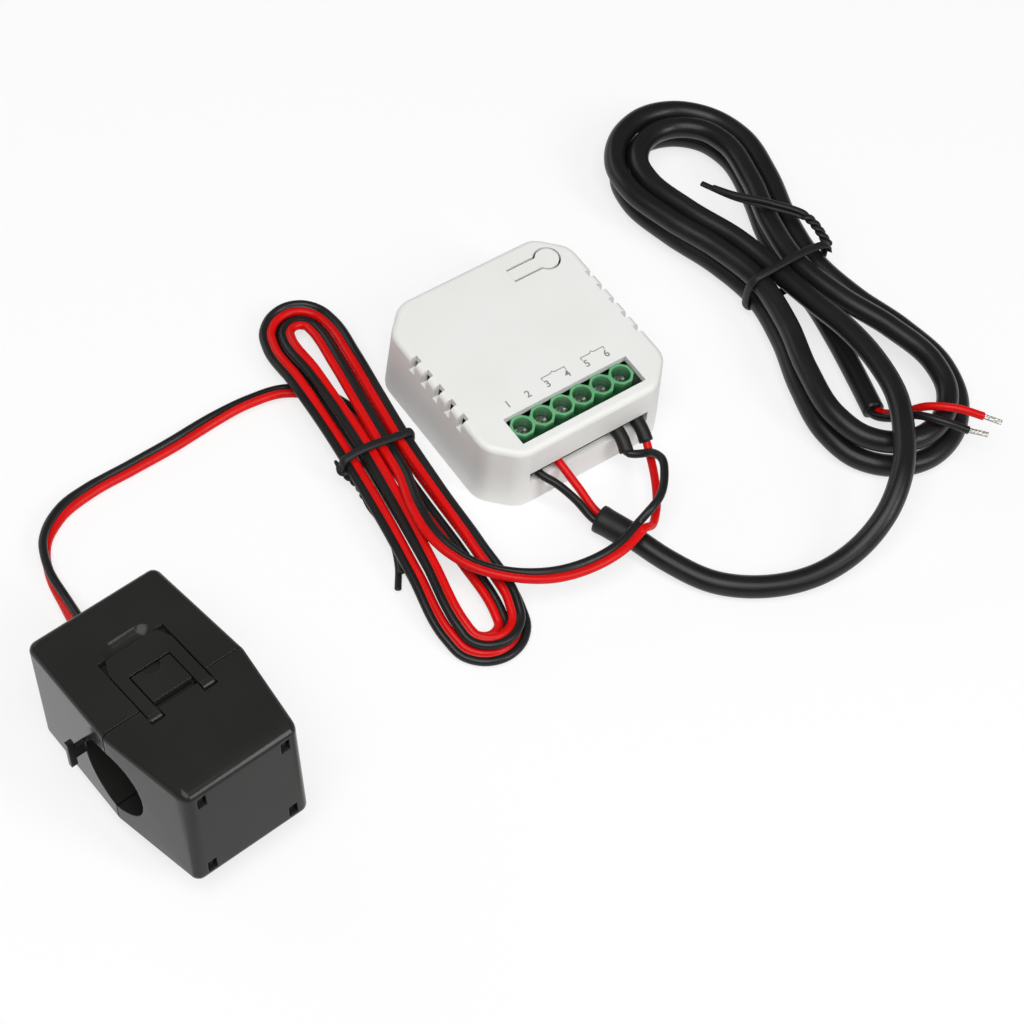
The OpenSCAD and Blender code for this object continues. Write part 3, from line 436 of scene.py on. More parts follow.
red_pvc = insulation("red_pvc", (0.70, 0.004, 0.004), (0.60, 0.003, 0.003),
                     roughness=0.36, gloss=0.22)
black_pvc = insulation("black_pvc", grey(0.009), grey(0.013), roughness=0.34, gloss=0.3)
jacket = insulation("cable_jacket", grey(0.008), grey(0.012), roughness=0.34, gloss=0.3)
shrink = insulation("shrink_tube", grey(0.008), grey(0.013), roughness=0.46, gloss=0.32)
tie_skin = insulation("tie_skin", grey(0.007), grey(0.012), roughness=0.5, gloss=0.32)
print("insulation:", [m.name for m in (red_pvc, black_pvc, jacket, shrink, tie_skin)])

# %% [markdown]
# ## The twin lead's way
# A flat lead of two cores runs from the clamp through its hank to the terminals. On its way out of
# the clamp it makes half a turn about itself, and in the hank it rolls a little to and fro. It
# could lie flat all along, but then it would look like a ruled strip. One roll for each point of
# its line turns it, and where it stands on edge it is lifted, so that it stays on the table.

# %% Route and roll of the twin lead
GLAND_FACE = np.array([-110.348, -13.574, 7.441])
INTO_CLAMP = np.array([0.0863, -0.9865, 0.1392])
LEAD_ROUTE = [(-109, -4, 5), (-108, 4, 2.8), (-107, 12, 1.8), (-104, 19, 1.1), (-98, 23.5, 0.9),
              (-90, 25.5, 0.9), (-80, 26, 0.9), (-70, 26.5, 0.9), (-60, 27.5, 0.9),
              (-51, 27.5, 0.9), (-43, 26, 0.9), (-37.5, 22, 1), (-35, 16, 1.8), (-34.2, 9, 3.2)]
TAIL_ROUTE = [(-36, -8, 7.2), (-38.5, -16, 8.2), (-39.5, -25, 8.4), (-37, -34, 8.4),
              (-31, -41, 8.4), (-24, -45, 8), (-16, -46.8, 7.8), (-8.5, -46.6, 7.8),
              (-2, -44.6, 7.8)]
LOBE_CENTRE, LOBE_RADIUS = 0.86, 0.93
ROLL_START, ROLL_END, ROLL_FADE = 2, 54, 30
SWAY, SWAY_WAVES = math.radians(20), (73, 41)

twin_path = smooth([GLAND_FACE + INTO_CLAMP, GLAND_FACE, *LEAD_ROUTE,
                    *hank_points(TWIN_HANK, start=3, end=0), *TAIL_ROUTE])
twin_run = distances(twin_path)
twin_end = twin_run[-1]
sway = np.interp(twin_run, [ROLL_END, ROLL_END + ROLL_FADE, twin_end - ROLL_FADE, twin_end],
                 [0, SWAY, SWAY, 0])
waves = [np.sin(2 * math.pi * twin_run / wave) for wave in SWAY_WAVES]
half_turn = np.interp(twin_run, [ROLL_START, ROLL_END], [-math.pi, 0])
twin_rolls = half_turn + sway * sum(waves) / len(waves)
on_edge = LOBE_CENTRE * np.abs(np.sin(twin_rolls)) + LOBE_RADIUS - twin_path[:, 2]
twin_path[:, 2] += np.maximum(0, on_edge)

# %% [markdown]
# ## The twin lead's skin
# A red and a black core lie side by side in one skin. Two tubes would show a gap or overlap. One
# outline with two lobes and a narrow web is what the real die looks like, and each lobe takes its
# own colour.

# %% Twin lead from the clamp to the split
LOBE_POINTS = 11
RED_SLOT, BLACK_SLOT = 0, 1

web = math.pi - math.acos(LOBE_CENTRE / LOBE_RADIUS)
lobe = [(LOBE_CENTRE + LOBE_RADIUS * math.cos(a), LOBE_RADIUS * math.sin(a))
        for a in np.linspace(-web, web, LOBE_POINTS)]
twin_outline = lobe + [(-x, -y) for x, y in lobe[1:-1]]
twin_paint = [RED_SLOT] * (LOBE_POINTS - 1) + [BLACK_SLOT] * (LOBE_POINTS - 1)
twin_tube = sweep(twin_path, twin_outline, paint=twin_paint, rolls=twin_rolls)
twin_lead = piece("twin_lead", [twin_tube], [red_pvc, black_pvc])
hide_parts("clamp_lead", "clamp_lead_hank", "clamp_lead_tail")

# %% [markdown]
# ## The two cores at the terminals
# Where the twin lead splits, each core goes its own way to a sleeve and ends inside it. A core
# could start just at the split, but a hair of light would show there. So each starts a little
# inside the lead, and runs on into its sleeve.

# %% Split cores
CORE_RADIUS, CORE_ROOT, SLEEVE_REACH = 0.9, 2, 5  # the reach counts points of a sleeve's line
WIRE_Z, BLOCK_FRONT, BEND_Y = 8.15, -20.2, -24.35
BEND_BEFORE, BEND_AFTER = 1.1, 1.0
BLACK_ROUTE = [(0.5, -43.2, 9), (4.4, -41.8, 9.6), (8.4, -38, 9.8), (10.7, -34, 9.2),
               (10.4, -31, 7.8), (8.7, -29.4, 6.6)]
RED_ROUTE = [(0.5, -45, 6.2), (4, -42, 5.6), (7.4, -37.4, 5.2), (10.6, -31.4, 5.2)]
SLEEVES = [((6.9, -27.6, 6.3), 7.5), ((12.0, -27.6, 6.3), 12.5)]  # a mouth, and its terminal's x


def beside(way):
    """The level direction to the right of another."""
    return unit((way[1], -way[0], 0))


def leaving(place, way, root):
    """The first two points of a core that starts inside a lead."""
    return [place - way * root, place]


def into_terminal(mouth, x):
    bend = np.array([x, BEND_Y, WIRE_Z])
    near = bend + unit(np.array(mouth) - bend) * BEND_BEFORE
    return smooth([mouth, near, bend + (0, BEND_AFTER, 0), (x, BLOCK_FRONT, WIRE_Z)], spacing=0.4)


split = np.array(TAIL_ROUTE[-1])
split_way = unit(split - TAIL_ROUTE[-2])
split_side = beside(split_way) * CORE_RADIUS
core_round = circle(CORE_RADIUS, sides=14)
black_end, red_end = ([sleeve[0], into_terminal(*sleeve)[SLEEVE_REACH]] for sleeve in SLEEVES)
black_path = smooth([*leaving(split - split_side, split_way, CORE_ROOT), *BLACK_ROUTE, *black_end])
red_path = smooth([*leaving(split + split_side, split_way, CORE_ROOT), *RED_ROUTE, *red_end])
black_core = piece("clamp_lead_black_core", [sweep(black_path, core_round)], [black_pvc])
red_core = piece("clamp_lead_red_core", [sweep(red_path, core_round)], [red_pvc])
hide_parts("clamp_core_black")
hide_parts("clamp_core_red")

# %% [markdown]
# ## Sleeves
# A short piece of shrink tube covers the end of each core and goes into the terminal. A plain tube
# would be closed at its mouth by a flat disc. A real one is open, so its stations first start
# inside, come out to the mouth and turn over the rim.

# %% Shrink sleeves at the terminals
SLEEVE_RADIUS, SLEEVE_RINGS, SLEEVE_TIP = 1.5, 14, 0.95
SLEEVE_MOUTH = [(1.0, 0.66), (0.05, 0.76), (0, 0.84), (0.1, 1.0), (0.6, 1.03)]
MOUTH_END, TIP_LENGTH = 1.2, 0.3

sleeve_parts = []
for mouth, x in SLEEVES:
    path = into_terminal(mouth, x)
    end = run_length(path)
    plain = [(d, 1.0) for d in np.linspace(MOUTH_END, end - TIP_LENGTH, SLEEVE_RINGS)]
    sleeve_parts.append(sweep(path, circle(SLEEVE_RADIUS, sides=18),
                              stations=[*SLEEVE_MOUTH, *plain, (end, SLEEVE_TIP)]))
sleeves = piece("shrink_sleeves", sleeve_parts, [shrink])
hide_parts("terminal_sleeves")

# %% [markdown]
# ## The supply cable
# A round black cable comes out of a shrink boot in front of the terminals, runs round to its own
# hank, and ends in two stripped cores. A curve with a round bevel would draw it too, but the tube
# maker also keeps the place on the skin, which the die lines need.

# %% Supply cable
CABLE_RADIUS = 2.4
BOOT_END = np.array([-2.9, -44.2, 3.1])
CABLE_ROUTE = [(0, -52, 2.6), (5, -61, 2.4), (13.5, -67.6, 2.4), (24, -71.4, 3.4), (34, -71.8, 6),
               (42.4, -69.6, 10), (49.4, -64.8, 13), (56, -57, 13.6), (60.4, -49.5, 13.4),
               (62.8, -40, 13), (63.6, -30, 12), (63, -19, 10.4)]
END_ROUTE = [(67.2, -15, 3.6), (65.6, -25, 3), (63, -36, 2.6), (60.5, -45, 2.5)]

cable_path = smooth([BOOT_END, *CABLE_ROUTE, *hank_points(CABLE_HANK, start=0, end=2.5),
                     *END_ROUTE])
cable = piece("supply_cable", [sweep(cable_path, circle(CABLE_RADIUS, sides=20))], [jacket])
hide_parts("power_cable", "power_cable_hank", "power_cable_end")
print("supply cable is", round(run_length(cable_path)), "mm long")

# %% [markdown]
# ## The boot and the supply cores
# A piece of shrink tube grips the cable's end where its two cores come out and run to terminals 1
# and 2. A plain cylinder would end in a flat disc. The real tube is hollow and drawn in by heat, so
# its stations start inside, turn over the rim and grow narrow towards the cable.

# %% Shrink boot and the cores from the terminals
BOOT_RADIUS, BOOT_RINGS, BOOT_SCALE = 3.0, 6, 0.985
BOOT_START = np.array([-6.2, -36.2, 3.1])
BOOT_MOUTH = [(1.6, 0.70), (0.1, 0.80), (0, 0.88), (0.12, 1.0), (0.8, 1.02), (2.0, 0.99)]
BOOT_NECK = [(0.5, 0.965), (0.1, 0.93), (0, 0.87), (0.1, 0.80)]  # distances from the boot's end
BOOT_PLAIN = 2.8, 1.4  # where the plain part starts, and how far from the end it stops
FEED_ROOT = 1.5
BLACK_FEED = [(-12.5, BLOCK_FRONT, WIRE_Z), (-12.4, -23.4, 8), (-10.8, -26.8, 7.6),
              (-8.8, -31, 5.6)]
RED_FEED = [(-7.5, BLOCK_FRONT, WIRE_Z), (-7.4, -23.4, 8), (-6.6, -29, 5.8)]

boot_way = unit(BOOT_END - BOOT_START)
boot_side = beside(boot_way) * CORE_RADIUS
boot_length = float(np.linalg.norm(BOOT_END - BOOT_START))
plain_rings = np.linspace(BOOT_PLAIN[0], boot_length - BOOT_PLAIN[1], BOOT_RINGS)
boot_stations = [*BOOT_MOUTH, *((d, BOOT_SCALE) for d in plain_rings),
                 *((boot_length - d, scale) for d, scale in BOOT_NECK)]
boot_line = [BOOT_START, (BOOT_START + BOOT_END) / 2, BOOT_END]
boot_tube = sweep(boot_line, circle(BOOT_RADIUS, sides=24), stations=boot_stations)
boot = piece("supply_boot", [boot_tube], [shrink])
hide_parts("power_boot")

black_feed = smooth([*BLACK_FEED, BOOT_START + boot_side,
                     BOOT_START + boot_side + boot_way * FEED_ROOT])
red_feed = smooth([*RED_FEED, BOOT_START - boot_side,
                   BOOT_START - boot_side + boot_way * FEED_ROOT])
feed_black = piece("supply_black_core", [sweep(black_feed, core_round)], [black_pvc])
feed_red = piece("supply_red_core", [sweep(red_feed, core_round)], [red_pvc])
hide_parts("power_core_black")
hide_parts("power_core_red")

# %% [markdown]
# ## Tinned metal
# The stripped strands are copper under a thin coat of solder, bright in one place and dull in the
# next. One grey metal would look like a steel pin. A slow noise mixes a bright and a dull grey, and
# a fine one along the strands gives the solder its small ripples.


# %% Tinned finish
def tinned_metal():
    metal = Finish("tinned_strands")
    dull = metal.noise(metal.place(), scale=1.8, detail=3.0)
    fine = metal.noise(metal.skin(along=0.3), scale=9.0)
    share = metal.sharpen(dull, low=0.4, high=0.65)
    return metal.close(metal.blend(share, (0.70, 0.68, 0.64), (0.46, 0.43, 0.39)),
                       0.26 + dull * 0.22, fine, depth=0.03, strength=0.4, Metallic=1.0)


tinned = tinned_metal()
print("metal for the stripped ends:", tinned.name)

# %% [markdown]
# ## Stripped ends
# At its far end the cable's jacket is cut back, and each core ends in strands twisted and dipped in
# solder. A plain rod would look like a pin. Six thin strands wound round the core's line, with a
# rod of solder between them, give the rope-like look of the real end.

# %% Far cores and their tips
FAR_RED = [(63.4, -50, 6), (66, -53.6, 10.4), (70.4, -58.6, 12.2), (74, -62.6, 11.6)]
FAR_BLACK = [(61, -50.4, 6), (62.4, -54, 10.4), (65.6, -59.6, 12.2), (69, -63.6, 11.4)]
RED_TIP, BLACK_TIP = (76.4, -65.6, 11.2), (72, -66.4, 11)
FAR_ROOT, TIP_ROOT, TIP_POINTS = 3, 0.5, 24
TIP_RADIUS, ROD_RADIUS, STRAND_RADIUS = 0.6, 0.34, 0.23
STRANDS, LAY = 6, 5.0


def wound(path, radius, lay, start):
    """A line that winds round another with the given lay length in millimetres."""
    path = np.array(path, float)
    run = distances(path)
    way = np.gradient(path, run, axis=0)
    wide = level_sides(way)
    high = np.cross(wide, units(way))
    lay = np.broadcast_to(lay, run.shape)
    angle = start + np.concatenate([[0], (2 * math.pi / lay[1:] * np.diff(run)).cumsum()])
    return path + radius * (np.cos(angle)[:, None] * wide + np.sin(angle)[:, None] * high)


far_end = np.array(END_ROUTE[-1])
far_way = unit(far_end - END_ROUTE[-2])
far_side = beside(far_way) * CORE_RADIUS
far_red_path = smooth([*leaving(far_end - far_side, far_way, FAR_ROOT), *FAR_RED])
far_black_path = smooth([*leaving(far_end + far_side, far_way, FAR_ROOT), *FAR_BLACK])
far_red = piece("far_red_core", [sweep(far_red_path, core_round)], [red_pvc])
far_black = piece("far_black_core", [sweep(far_black_path, core_round)], [black_pvc])
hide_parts("far_core_red")
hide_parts("far_core_black")

tip_parts = []
for route, tip in ((FAR_RED, RED_TIP), (FAR_BLACK, BLACK_TIP)):
    tip_start = np.array(route[-1]) - unit(np.array(tip) - route[-1]) * TIP_ROOT
    line = np.linspace(tip_start, tip, TIP_POINTS)
    tip_parts.append(sweep(line, circle(ROD_RADIUS, sides=10), spacing=0.4))
    for strand in range(STRANDS):
        coil = wound(line, TIP_RADIUS - STRAND_RADIUS, LAY, strand * 2 * math.pi / STRANDS)
        tip_parts.append(sweep(coil, circle(STRAND_RADIUS, sides=8), spacing=0.3, lip=0.05))
tips = piece("tinned_ends", tip_parts, [tinned])
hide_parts("far_tips")

# %% [markdown]
# ## Wire ties
# Each hank is held by a tie: a soft wire in a black skin, laid once round all strands and twisted
# shut at the side, where its two ends stick out. A plain ring would do for a shelf, but the twist
# is what tells the eye that it is a tie. The loop and the two wound ends are tubes with a flattened
# outline.

# %% Ties
LOOP_WIDE, TAIL_WIDE, TIE_HIGH, TIE_SIDES = 1.0, 0.72, 0.45, 12
TIE_NEAR, TIE_FAR, TIE_GAP = 1.5, 1, 0.5  # the rounds that the loop lies on, and its distance
LOOP_SLANT, CORNER_ANGLES = 0.75, (0, 22, 45, 68, 90)
TWIST_OUT, TWIST_LOW, TWIST_TOP = 0.4, 0.6, 0.4
TWISTED, TWIST_LAY, LOOSE_LAY = 9, 3.4, 120.0
ENDS_APART, ENDS_OPEN, END_PHASE, SHORT_END = 0.5, 12, 0.4, 9
TWIN_TIE_TAIL = [(-43.6, -4, 3.4), (-44.2, -9, 2.2), (-44, -15, 1.5), (-46.5, -23, 1.4),
                 (-49.6, -28, 1.6)]
CABLE_TIE_TAIL = [(74.6, -2, 13.4), (69.6, 5, 14), (64.6, 12, 13), (61, 19.6, 12)]


def oval(wide):
    return [(wide * math.cos(a), TIE_HIGH * math.sin(a))
            for a in np.arange(TIE_SIDES) * math.pi / (TIE_SIDES / 2)]


def tie_ring(half, high, corner):
    """A box with round corners, as distances out from and above its middle."""
    corners = [(half - corner, high - corner, 0), (corner - half, high - corner, 90),
               (corner - half, corner - high, 180), (half - corner, corner - high, 270)]
    return [(x + corner * math.cos(math.radians(base + a)),
             z + corner * math.sin(math.radians(base + a)))
            for x, z, base in corners for a in CORNER_ANGLES]


def tie(name, hank, start, tail, corner, spread):
    """A loop round the waist from the twist and back, and two ends wound round each other."""
    along = np.array([math.sin(hank["turn"]), math.cos(hank["turn"]), 0])
    outer, inner = (np.array([*hank_point(hank, t)[:2], 0]) for t in (TIE_NEAR, TIE_FAR))
    out = unit(outer - inner)
    half = np.linalg.norm(outer - inner) / 2 + hank["width"] / 2 + TIE_GAP
    high = hank["height"] + LAYER_GAP / 2 + TIE_GAP
    middle = (outer + inner) / 2 + (0, 0, hank["lift"] + high - TIE_GAP)
    twist_z = start - middle[2]
    ring = [(half + TWIST_OUT, twist_z - TWIST_LOW), *tie_ring(half, high, corner),
            (half + TWIST_OUT, twist_z + TWIST_TOP)]
    slide = np.linspace(-LOOP_SLANT, LOOP_SLANT, len(ring))
    loop = smooth([middle + out * x + along * s + np.array([0, 0, z])
                   for (x, z), s in zip(ring, slide)], spacing=0.5)
    root = middle + out * (half + TIE_GAP)
    root[2] = start
    line = smooth([root, *tail], spacing=0.35)
    run = np.linspace(0, run_length(line), len(line))
    lay = np.where(run < TWISTED, TWIST_LAY, LOOSE_LAY)
    apart = ENDS_APART + spread * np.clip((run - TWISTED) / ENDS_OPEN, 0, 1)
    tubes = [sweep(loop, oval(LOOP_WIDE), spacing=0.5, side=along)]
    for phase, short in ((END_PHASE, 0), (END_PHASE + math.pi, SHORT_END)):
        coil = wound(line, apart[:, None], lay, phase)[: len(line) - short]
        tubes.append(sweep(coil, oval(TAIL_WIDE), spacing=0.4))
    made = piece(name, tubes, [tie_skin])
    return made


twin_tie = tie("twin_lead_tie", TWIN_HANK, start=5, tail=TWIN_TIE_TAIL, corner=1.5, spread=0.25)
cable_tie = tie("supply_cable_tie", CABLE_HANK, start=10, tail=CABLE_TIE_TAIL, corner=2.8,
                spread=0.3)
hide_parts("clamp_tie")
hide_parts("power_tie")

# %% [markdown]
# ## Which pieces are cords
# The twin lead and the supply cable are the two cords.
# This cell only prints their names.

# %% The two cords
print("cords:", twin_lead.name, "and", cable.name)

# %% [markdown]
# ## Moulded plastics
# The module is a white satin moulding, the clamp a black one and the terminal block a green one.
# Each comes from a spark-eroded tool, so its skin has a fine grain and its gloss is not quite even.
# The edges of the solids are sharp or have few steps. They could be cut round in the mesh, but a
# Bevel node rounds how they take the light without a single face more. The wells of the green block
# get painted shade: their colour turns darker towards the bottom, where little light falls.


# %% Moulded finishes
def moulded(name, colour, shade, roughness, grain, depth, edge, gloss=0.5, wells=None):
    """Wells are two heights in millimetres and a painted shade colour, which the colour darkens
    towards from the second height down to the first.
    """
    plastic = Finish(name)
    cloud = plastic.noise(plastic.place(), scale=0.07, detail=3.0)
    pores = plastic.noise(plastic.place(), scale=grain)
    dust = plastic.noise(plastic.place(), scale=1.1, detail=4.0)
    dust = plastic.sharpen(dust, low=0.66, high=0.78)
    tone = plastic.blend(plastic.sharpen(cloud, low=0.35, high=0.7), colour, shade)
    # painted shade: the colour darkens from the rims down to the floor of the wells, where little
    # light falls
    if wells:
        low, high, painted_shade = wells
        height = plastic.node("ShaderNodeSeparateXYZ", {}, {0: plastic.place()}, out="Z")
        tone = plastic.blend(plastic.sharpen(height, low, high), painted_shade, tone)
    return plastic.close(tone,
                         roughness + (pores - 0.5) * 0.16 + dust * 0.08 + (cloud - 0.5) * 0.1,
                         pores, depth=depth, strength=0.25, edge=edge, Specular_IOR_Level=gloss)


# how far down the painted shade in the green block's wells reaches
WELL_DEPTH = 1.6
block_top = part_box("terminal_block")[1][2] / MM
white_shell = moulded("white_shell", (0.82, 0.82, 0.80), (0.79, 0.79, 0.765),
                      roughness=0.46, grain=5.0, depth=0.02, edge=0.1)
white_base = moulded("white_base", (0.78, 0.78, 0.76), (0.74, 0.74, 0.72),
                     roughness=0.5, grain=5.0, depth=0.02, edge=0.25)
green_block = moulded("green_block", (0.145, 0.42, 0.20), (0.12, 0.37, 0.17),
                      roughness=0.32, grain=7.0, depth=0.015, edge=0.1, gloss=0.18,
                      # the last colour is the painted shade at the floor of the wells
                      wells=(block_top - WELL_DEPTH, block_top, (0.028, 0.15, 0.055)))
black_shell = moulded("black_shell", (0.0195, 0.019, 0.0183), (0.0225, 0.0219, 0.021),
                      roughness=0.17, grain=4.0, depth=0.006, edge=0.35, gloss=0.17)
black_package = moulded("black_package", (0.016, 0.016, 0.017), (0.024, 0.024, 0.025),
                        roughness=0.55, grain=9.0, depth=0.02, edge=0.1)
natural_bobbin = moulded("natural_bobbin", (0.72, 0.69, 0.58), (0.66, 0.62, 0.50),
                         roughness=0.45, grain=6.0, depth=0.02, edge=0.15)
blue_coat = moulded("blue_coat", (0.03, 0.13, 0.46), (0.022, 0.10, 0.38),
                    roughness=0.3, grain=2.5, depth=0.05, edge=0.2)
can_sleeve = moulded("can_sleeve", (0.016, 0.022, 0.06), (0.022, 0.03, 0.08),
                     roughness=0.3, grain=3.0, depth=0.02, edge=0.2)
print("plastics made; the wells' rims are at", round(block_top, 2), "mm")

# %% [markdown]
# ## Metals and ferrite
# Screws are plated, cages and pins are plain steel, and the cores are grey sintered ferrite. Each
# could have a recipe of its own, but all of them are a metal or stone colour with brushed or grainy
# roughness. So one maker takes the stretch of the grain.


# %% Metal finishes
def metal(name, colour, shade, roughness, stretch, scale, depth=0.02, metallic=1.0, edge=0.08):
    plate = Finish(name)
    brush = plate.noise(plate.place(stretch), scale, detail=3.0)
    stain = plate.noise(plate.place(), scale=0.5, detail=3.0)
    return plate.close(plate.blend(plate.sharpen(stain, low=0.35, high=0.7), colour, shade),
                       roughness + (brush - 0.5) * 0.25 + stain * 0.06,
                       brush, depth=depth, strength=0.3, edge=edge, Metallic=metallic)


nickel = metal("nickel_screw", (0.56, 0.55, 0.53), (0.40, 0.39, 0.37),
               roughness=0.2, stretch=(1, 1, 1), scale=6.0)
zinc = metal("zinc_cage", (0.60, 0.61, 0.62), grey(0.50),
             roughness=0.34, stretch=(1, 1, 0.15), scale=5.0)
steel = metal("bright_steel", grey(0.58), (0.48, 0.48, 0.47),
              roughness=0.28, stretch=(0.1, 1, 1), scale=7.0)
brass_plate = metal("plated_contact", (0.72, 0.58, 0.30), (0.60, 0.46, 0.20),
                    roughness=0.3, stretch=(1, 0.2, 1), scale=6.0)
tin_can = metal("tin_shield", (0.64, 0.65, 0.66), (0.54, 0.54, 0.55),
                roughness=0.3, stretch=(0.12, 1, 1), scale=6.0)
ferrite = metal("ferrite", (0.06, 0.06, 0.065), (0.09, 0.09, 0.095),
                roughness=0.6, stretch=(1, 1, 1), scale=8.0, depth=0.04, metallic=0.0, edge=0.15)
copper = metal("enamelled_turns", (0.50, 0.20, 0.07), (0.40, 0.14, 0.05),
               roughness=0.3, stretch=(6, 6, 0.3), scale=1.2, depth=0.12, edge=0.0)
tape = metal("transformer_tape", (0.62, 0.47, 0.10), (0.55, 0.40, 0.07),
             roughness=0.34, stretch=(0.1, 1, 4), scale=0.6, depth=0.05, metallic=0.0, edge=0.15)
print("metals:", [m.name for m in (nickel, zinc, steel, brass_plate, tin_can)])

# %% [markdown]
# ## The board
# The board has a green mask, and its copper lines show through as paler green. A layout could be
# drawn line by line, but the board is hidden in the module. A brick pattern whose joints stand for
# the lines is enough.


# %% Board finish
def solder_mask():
    board = Finish("solder_mask")
    where = board.place()
    joints = board.node("ShaderNodeTexBrick", {"offset": 0.37},
                        {"Vector": where, "Scale": 0.45, "Mortar Size": 0.05,
                         "Mortar Smooth": 0.4}, out="Fac")
    tracks = board.sharpen(joints, low=0.3, high=0.7)
    cloud = board.noise(where, scale=0.4)
    green = board.blend(cloud, (0.012, 0.11, 0.04), (0.016, 0.14, 0.055))
    return board.close(board.blend(tracks * 0.8, green, (0.04, 0.26, 0.10)), 0.3 + cloud * 0.12,
                       tracks + cloud * 0.1, depth=0.04, strength=0.5)


mask = solder_mask()
print("board finish:", mask.name)

# %% [markdown]
# ## Who wears what
# Every rigid piece names a slot in the record, such as screw or cage. A finish could be given piece
# by piece, but one table from slot to finish dresses all of them, and the slots stay free for
# another colour.

# %% Finishes on the rigid pieces
FINISH_OF = {"housing": white_shell, "base": white_base, "board": mask, "chip": black_package,
             "supply": tape, "capacitor": can_sleeve, "varistor": blue_coat, "shield": tin_can,
             "terminal": green_block, "contact": brass_plate, "screw": nickel, "cage": zinc,
             "clamp": black_shell, "pin": steel, "core": ferrite, "bobbin": natural_bobbin,
             "winding": copper, "spring": steel, "tinned": tinned}
dressed = 0
for row in frame["record"]["subparts"]:
    solid = frame["nodes"][row["node"]]
    if row["material_slot"] in FINISH_OF:
        solid.data.materials.clear()
        solid.data.materials.append(FINISH_OF[row["material_slot"]])
        dressed += 1
print(dressed, "rigid pieces dressed")

# %% [markdown]
# ## Round corners without steps
# The corners of the cover and of the clamp come from the solid model as narrow flats side by side,
# and each would catch the light by itself. More flats would make the model heavy. A modifier marks
# only the edges that really turn as sharp and shades the rest as one round face, and its neighbour
# gives large faces more say, so that they stay flat. The shape isn't touched.

# %% Smooth shading on the stepped pieces
SHARP_FROM = math.radians(32)
SAME_PLACE, FACE_WEIGHT = 1e-6, 60


def soft_facets():
    group = bpy.data.node_groups.new("soft_facets", "GeometryNodeTree")
    for way in ("INPUT", "OUTPUT"):
        group.interface.new_socket("Geometry", in_out=way, socket_type="NodeSocketGeometry")
    graph = Graph(group)
    shape = graph.node("NodeGroupInput", {}, {})
    shape = graph.node("GeometryNodeRemoveAttribute", {}, {0: shape, "Name": "custom_normal"})
    shape = graph.node("GeometryNodeMergeByDistance", {}, {0: shape, "Distance": SAME_PLACE})
    shape = graph.node("GeometryNodeSetShadeSmooth", {"domain": "FACE"},
                       {0: shape, "Shade Smooth": True})
    angle = graph.node("GeometryNodeInputMeshEdgeAngle", {}, {})
    sharp = graph.node("FunctionNodeCompare", {"data_type": "FLOAT", "operation": "GREATER_THAN"},
                       {0: angle, 1: SHARP_FROM})
    shape = graph.node("GeometryNodeSetShadeSmooth", {"domain": "EDGE"},
                       {0: shape, 1: sharp, "Shade Smooth": False})
    graph.node("NodeGroupOutput", {}, {0: shape})
    return group


facets = soft_facets()
for name in ("top_cover", "clamp_body", "clamp_jaw"):
    solid = frame["nodes"][name]
    solid.modifiers.new("soft_facets", "NODES").node_group = facets
    even = solid.modifiers.new("flat_faces", "WEIGHTED_NORMAL")
    even.weight, even.keep_sharp = FACE_WEIGHT, True
    print(name, "is shaded smooth up to", round(math.degrees(SHARP_FROM)), "degrees")

# %% [markdown]
# ## Brackets at the terminals
# The cover has grey pad-printed marks behind the terminals. Here a bracket stands over each of the
# two pairs that take a clamp, and plain numbers from 1 to 6 follow below. A bump would fade at this
# size, so the ink is a very thin solid on the cover, and each bracket is one mitred line.

# %% Ink and brackets
INK_THICK, PITCH, WAYS = 0.03, 5.0, 6
BRACKET_LINE, BRACKET_Y = 0.2, -8.8
BRACKET = [(-2.9, -0.7), (-2.9, 0), (-0.5, 0), (0, 0.4), (0.5, 0), (2.9, 0), (2.9, -0.7)]
PAIR_CENTRES = (0.0, 2 * PITCH)
cover_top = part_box("top_cover")[1][2] / MM


def printed_ink():
    ink = Finish("grey_ink")
    patch = ink.noise(ink.place(), scale=3.0, detail=3.0)
    return ink.close(ink.blend(patch, grey(0.22), (0.28, 0.28, 0.275)), 0.5 + patch * 0.1)


def stroke(shapes, path, width, low, high):
    """Adds a thin line of ink along a flat path, with mitred corners."""
    path = np.array(path, float)
    way = units(np.diff(path, axis=0))
    turn = units(np.vstack([way[:1], way[:-1] + way[1:], way[-1:]]))
    lean = np.concatenate([[1], (turn[1:-1] * way[:-1]).sum(axis=1), [1]])[:, None]
    out = np.stack([-turn[:, 1], turn[:, 0]], axis=1) * width / 2 / lean
    rows = [[shapes.verts.new((*(xy * MM), z * MM)) for xy, z in
             ((p + o, low), (p - o, low), (p - o, high), (p + o, high))]
            for p, o in zip(path, out)]
    for a, b in zip(rows, rows[1:]):
        for j in range(4):
            shapes.faces.new((a[j], a[(j + 1) % 4], b[(j + 1) % 4], b[j]))
    shapes.faces.new(rows[0][::-1])
    shapes.faces.new(rows[-1])


shapes = bmesh.new()
for pair in PAIR_CENTRES:
    stroke(shapes, [(pair + x, BRACKET_Y + y) for x, y in BRACKET], BRACKET_LINE,
           cover_top, cover_top + INK_THICK)
print("brackets have", len(shapes.faces), "faces")

# %% [markdown]
# ## Numbers at the terminals
# Each terminal has its number. The figures could be drawn as strokes too, but Blender's own font
# has them ready: a text becomes a mesh and is added to the same ink, so that all marks are one
# piece.

# %% Printed numbers
NUMBER_SIZE, NUMBER_Y, BOLD = 2.4, -11.4, 0.04

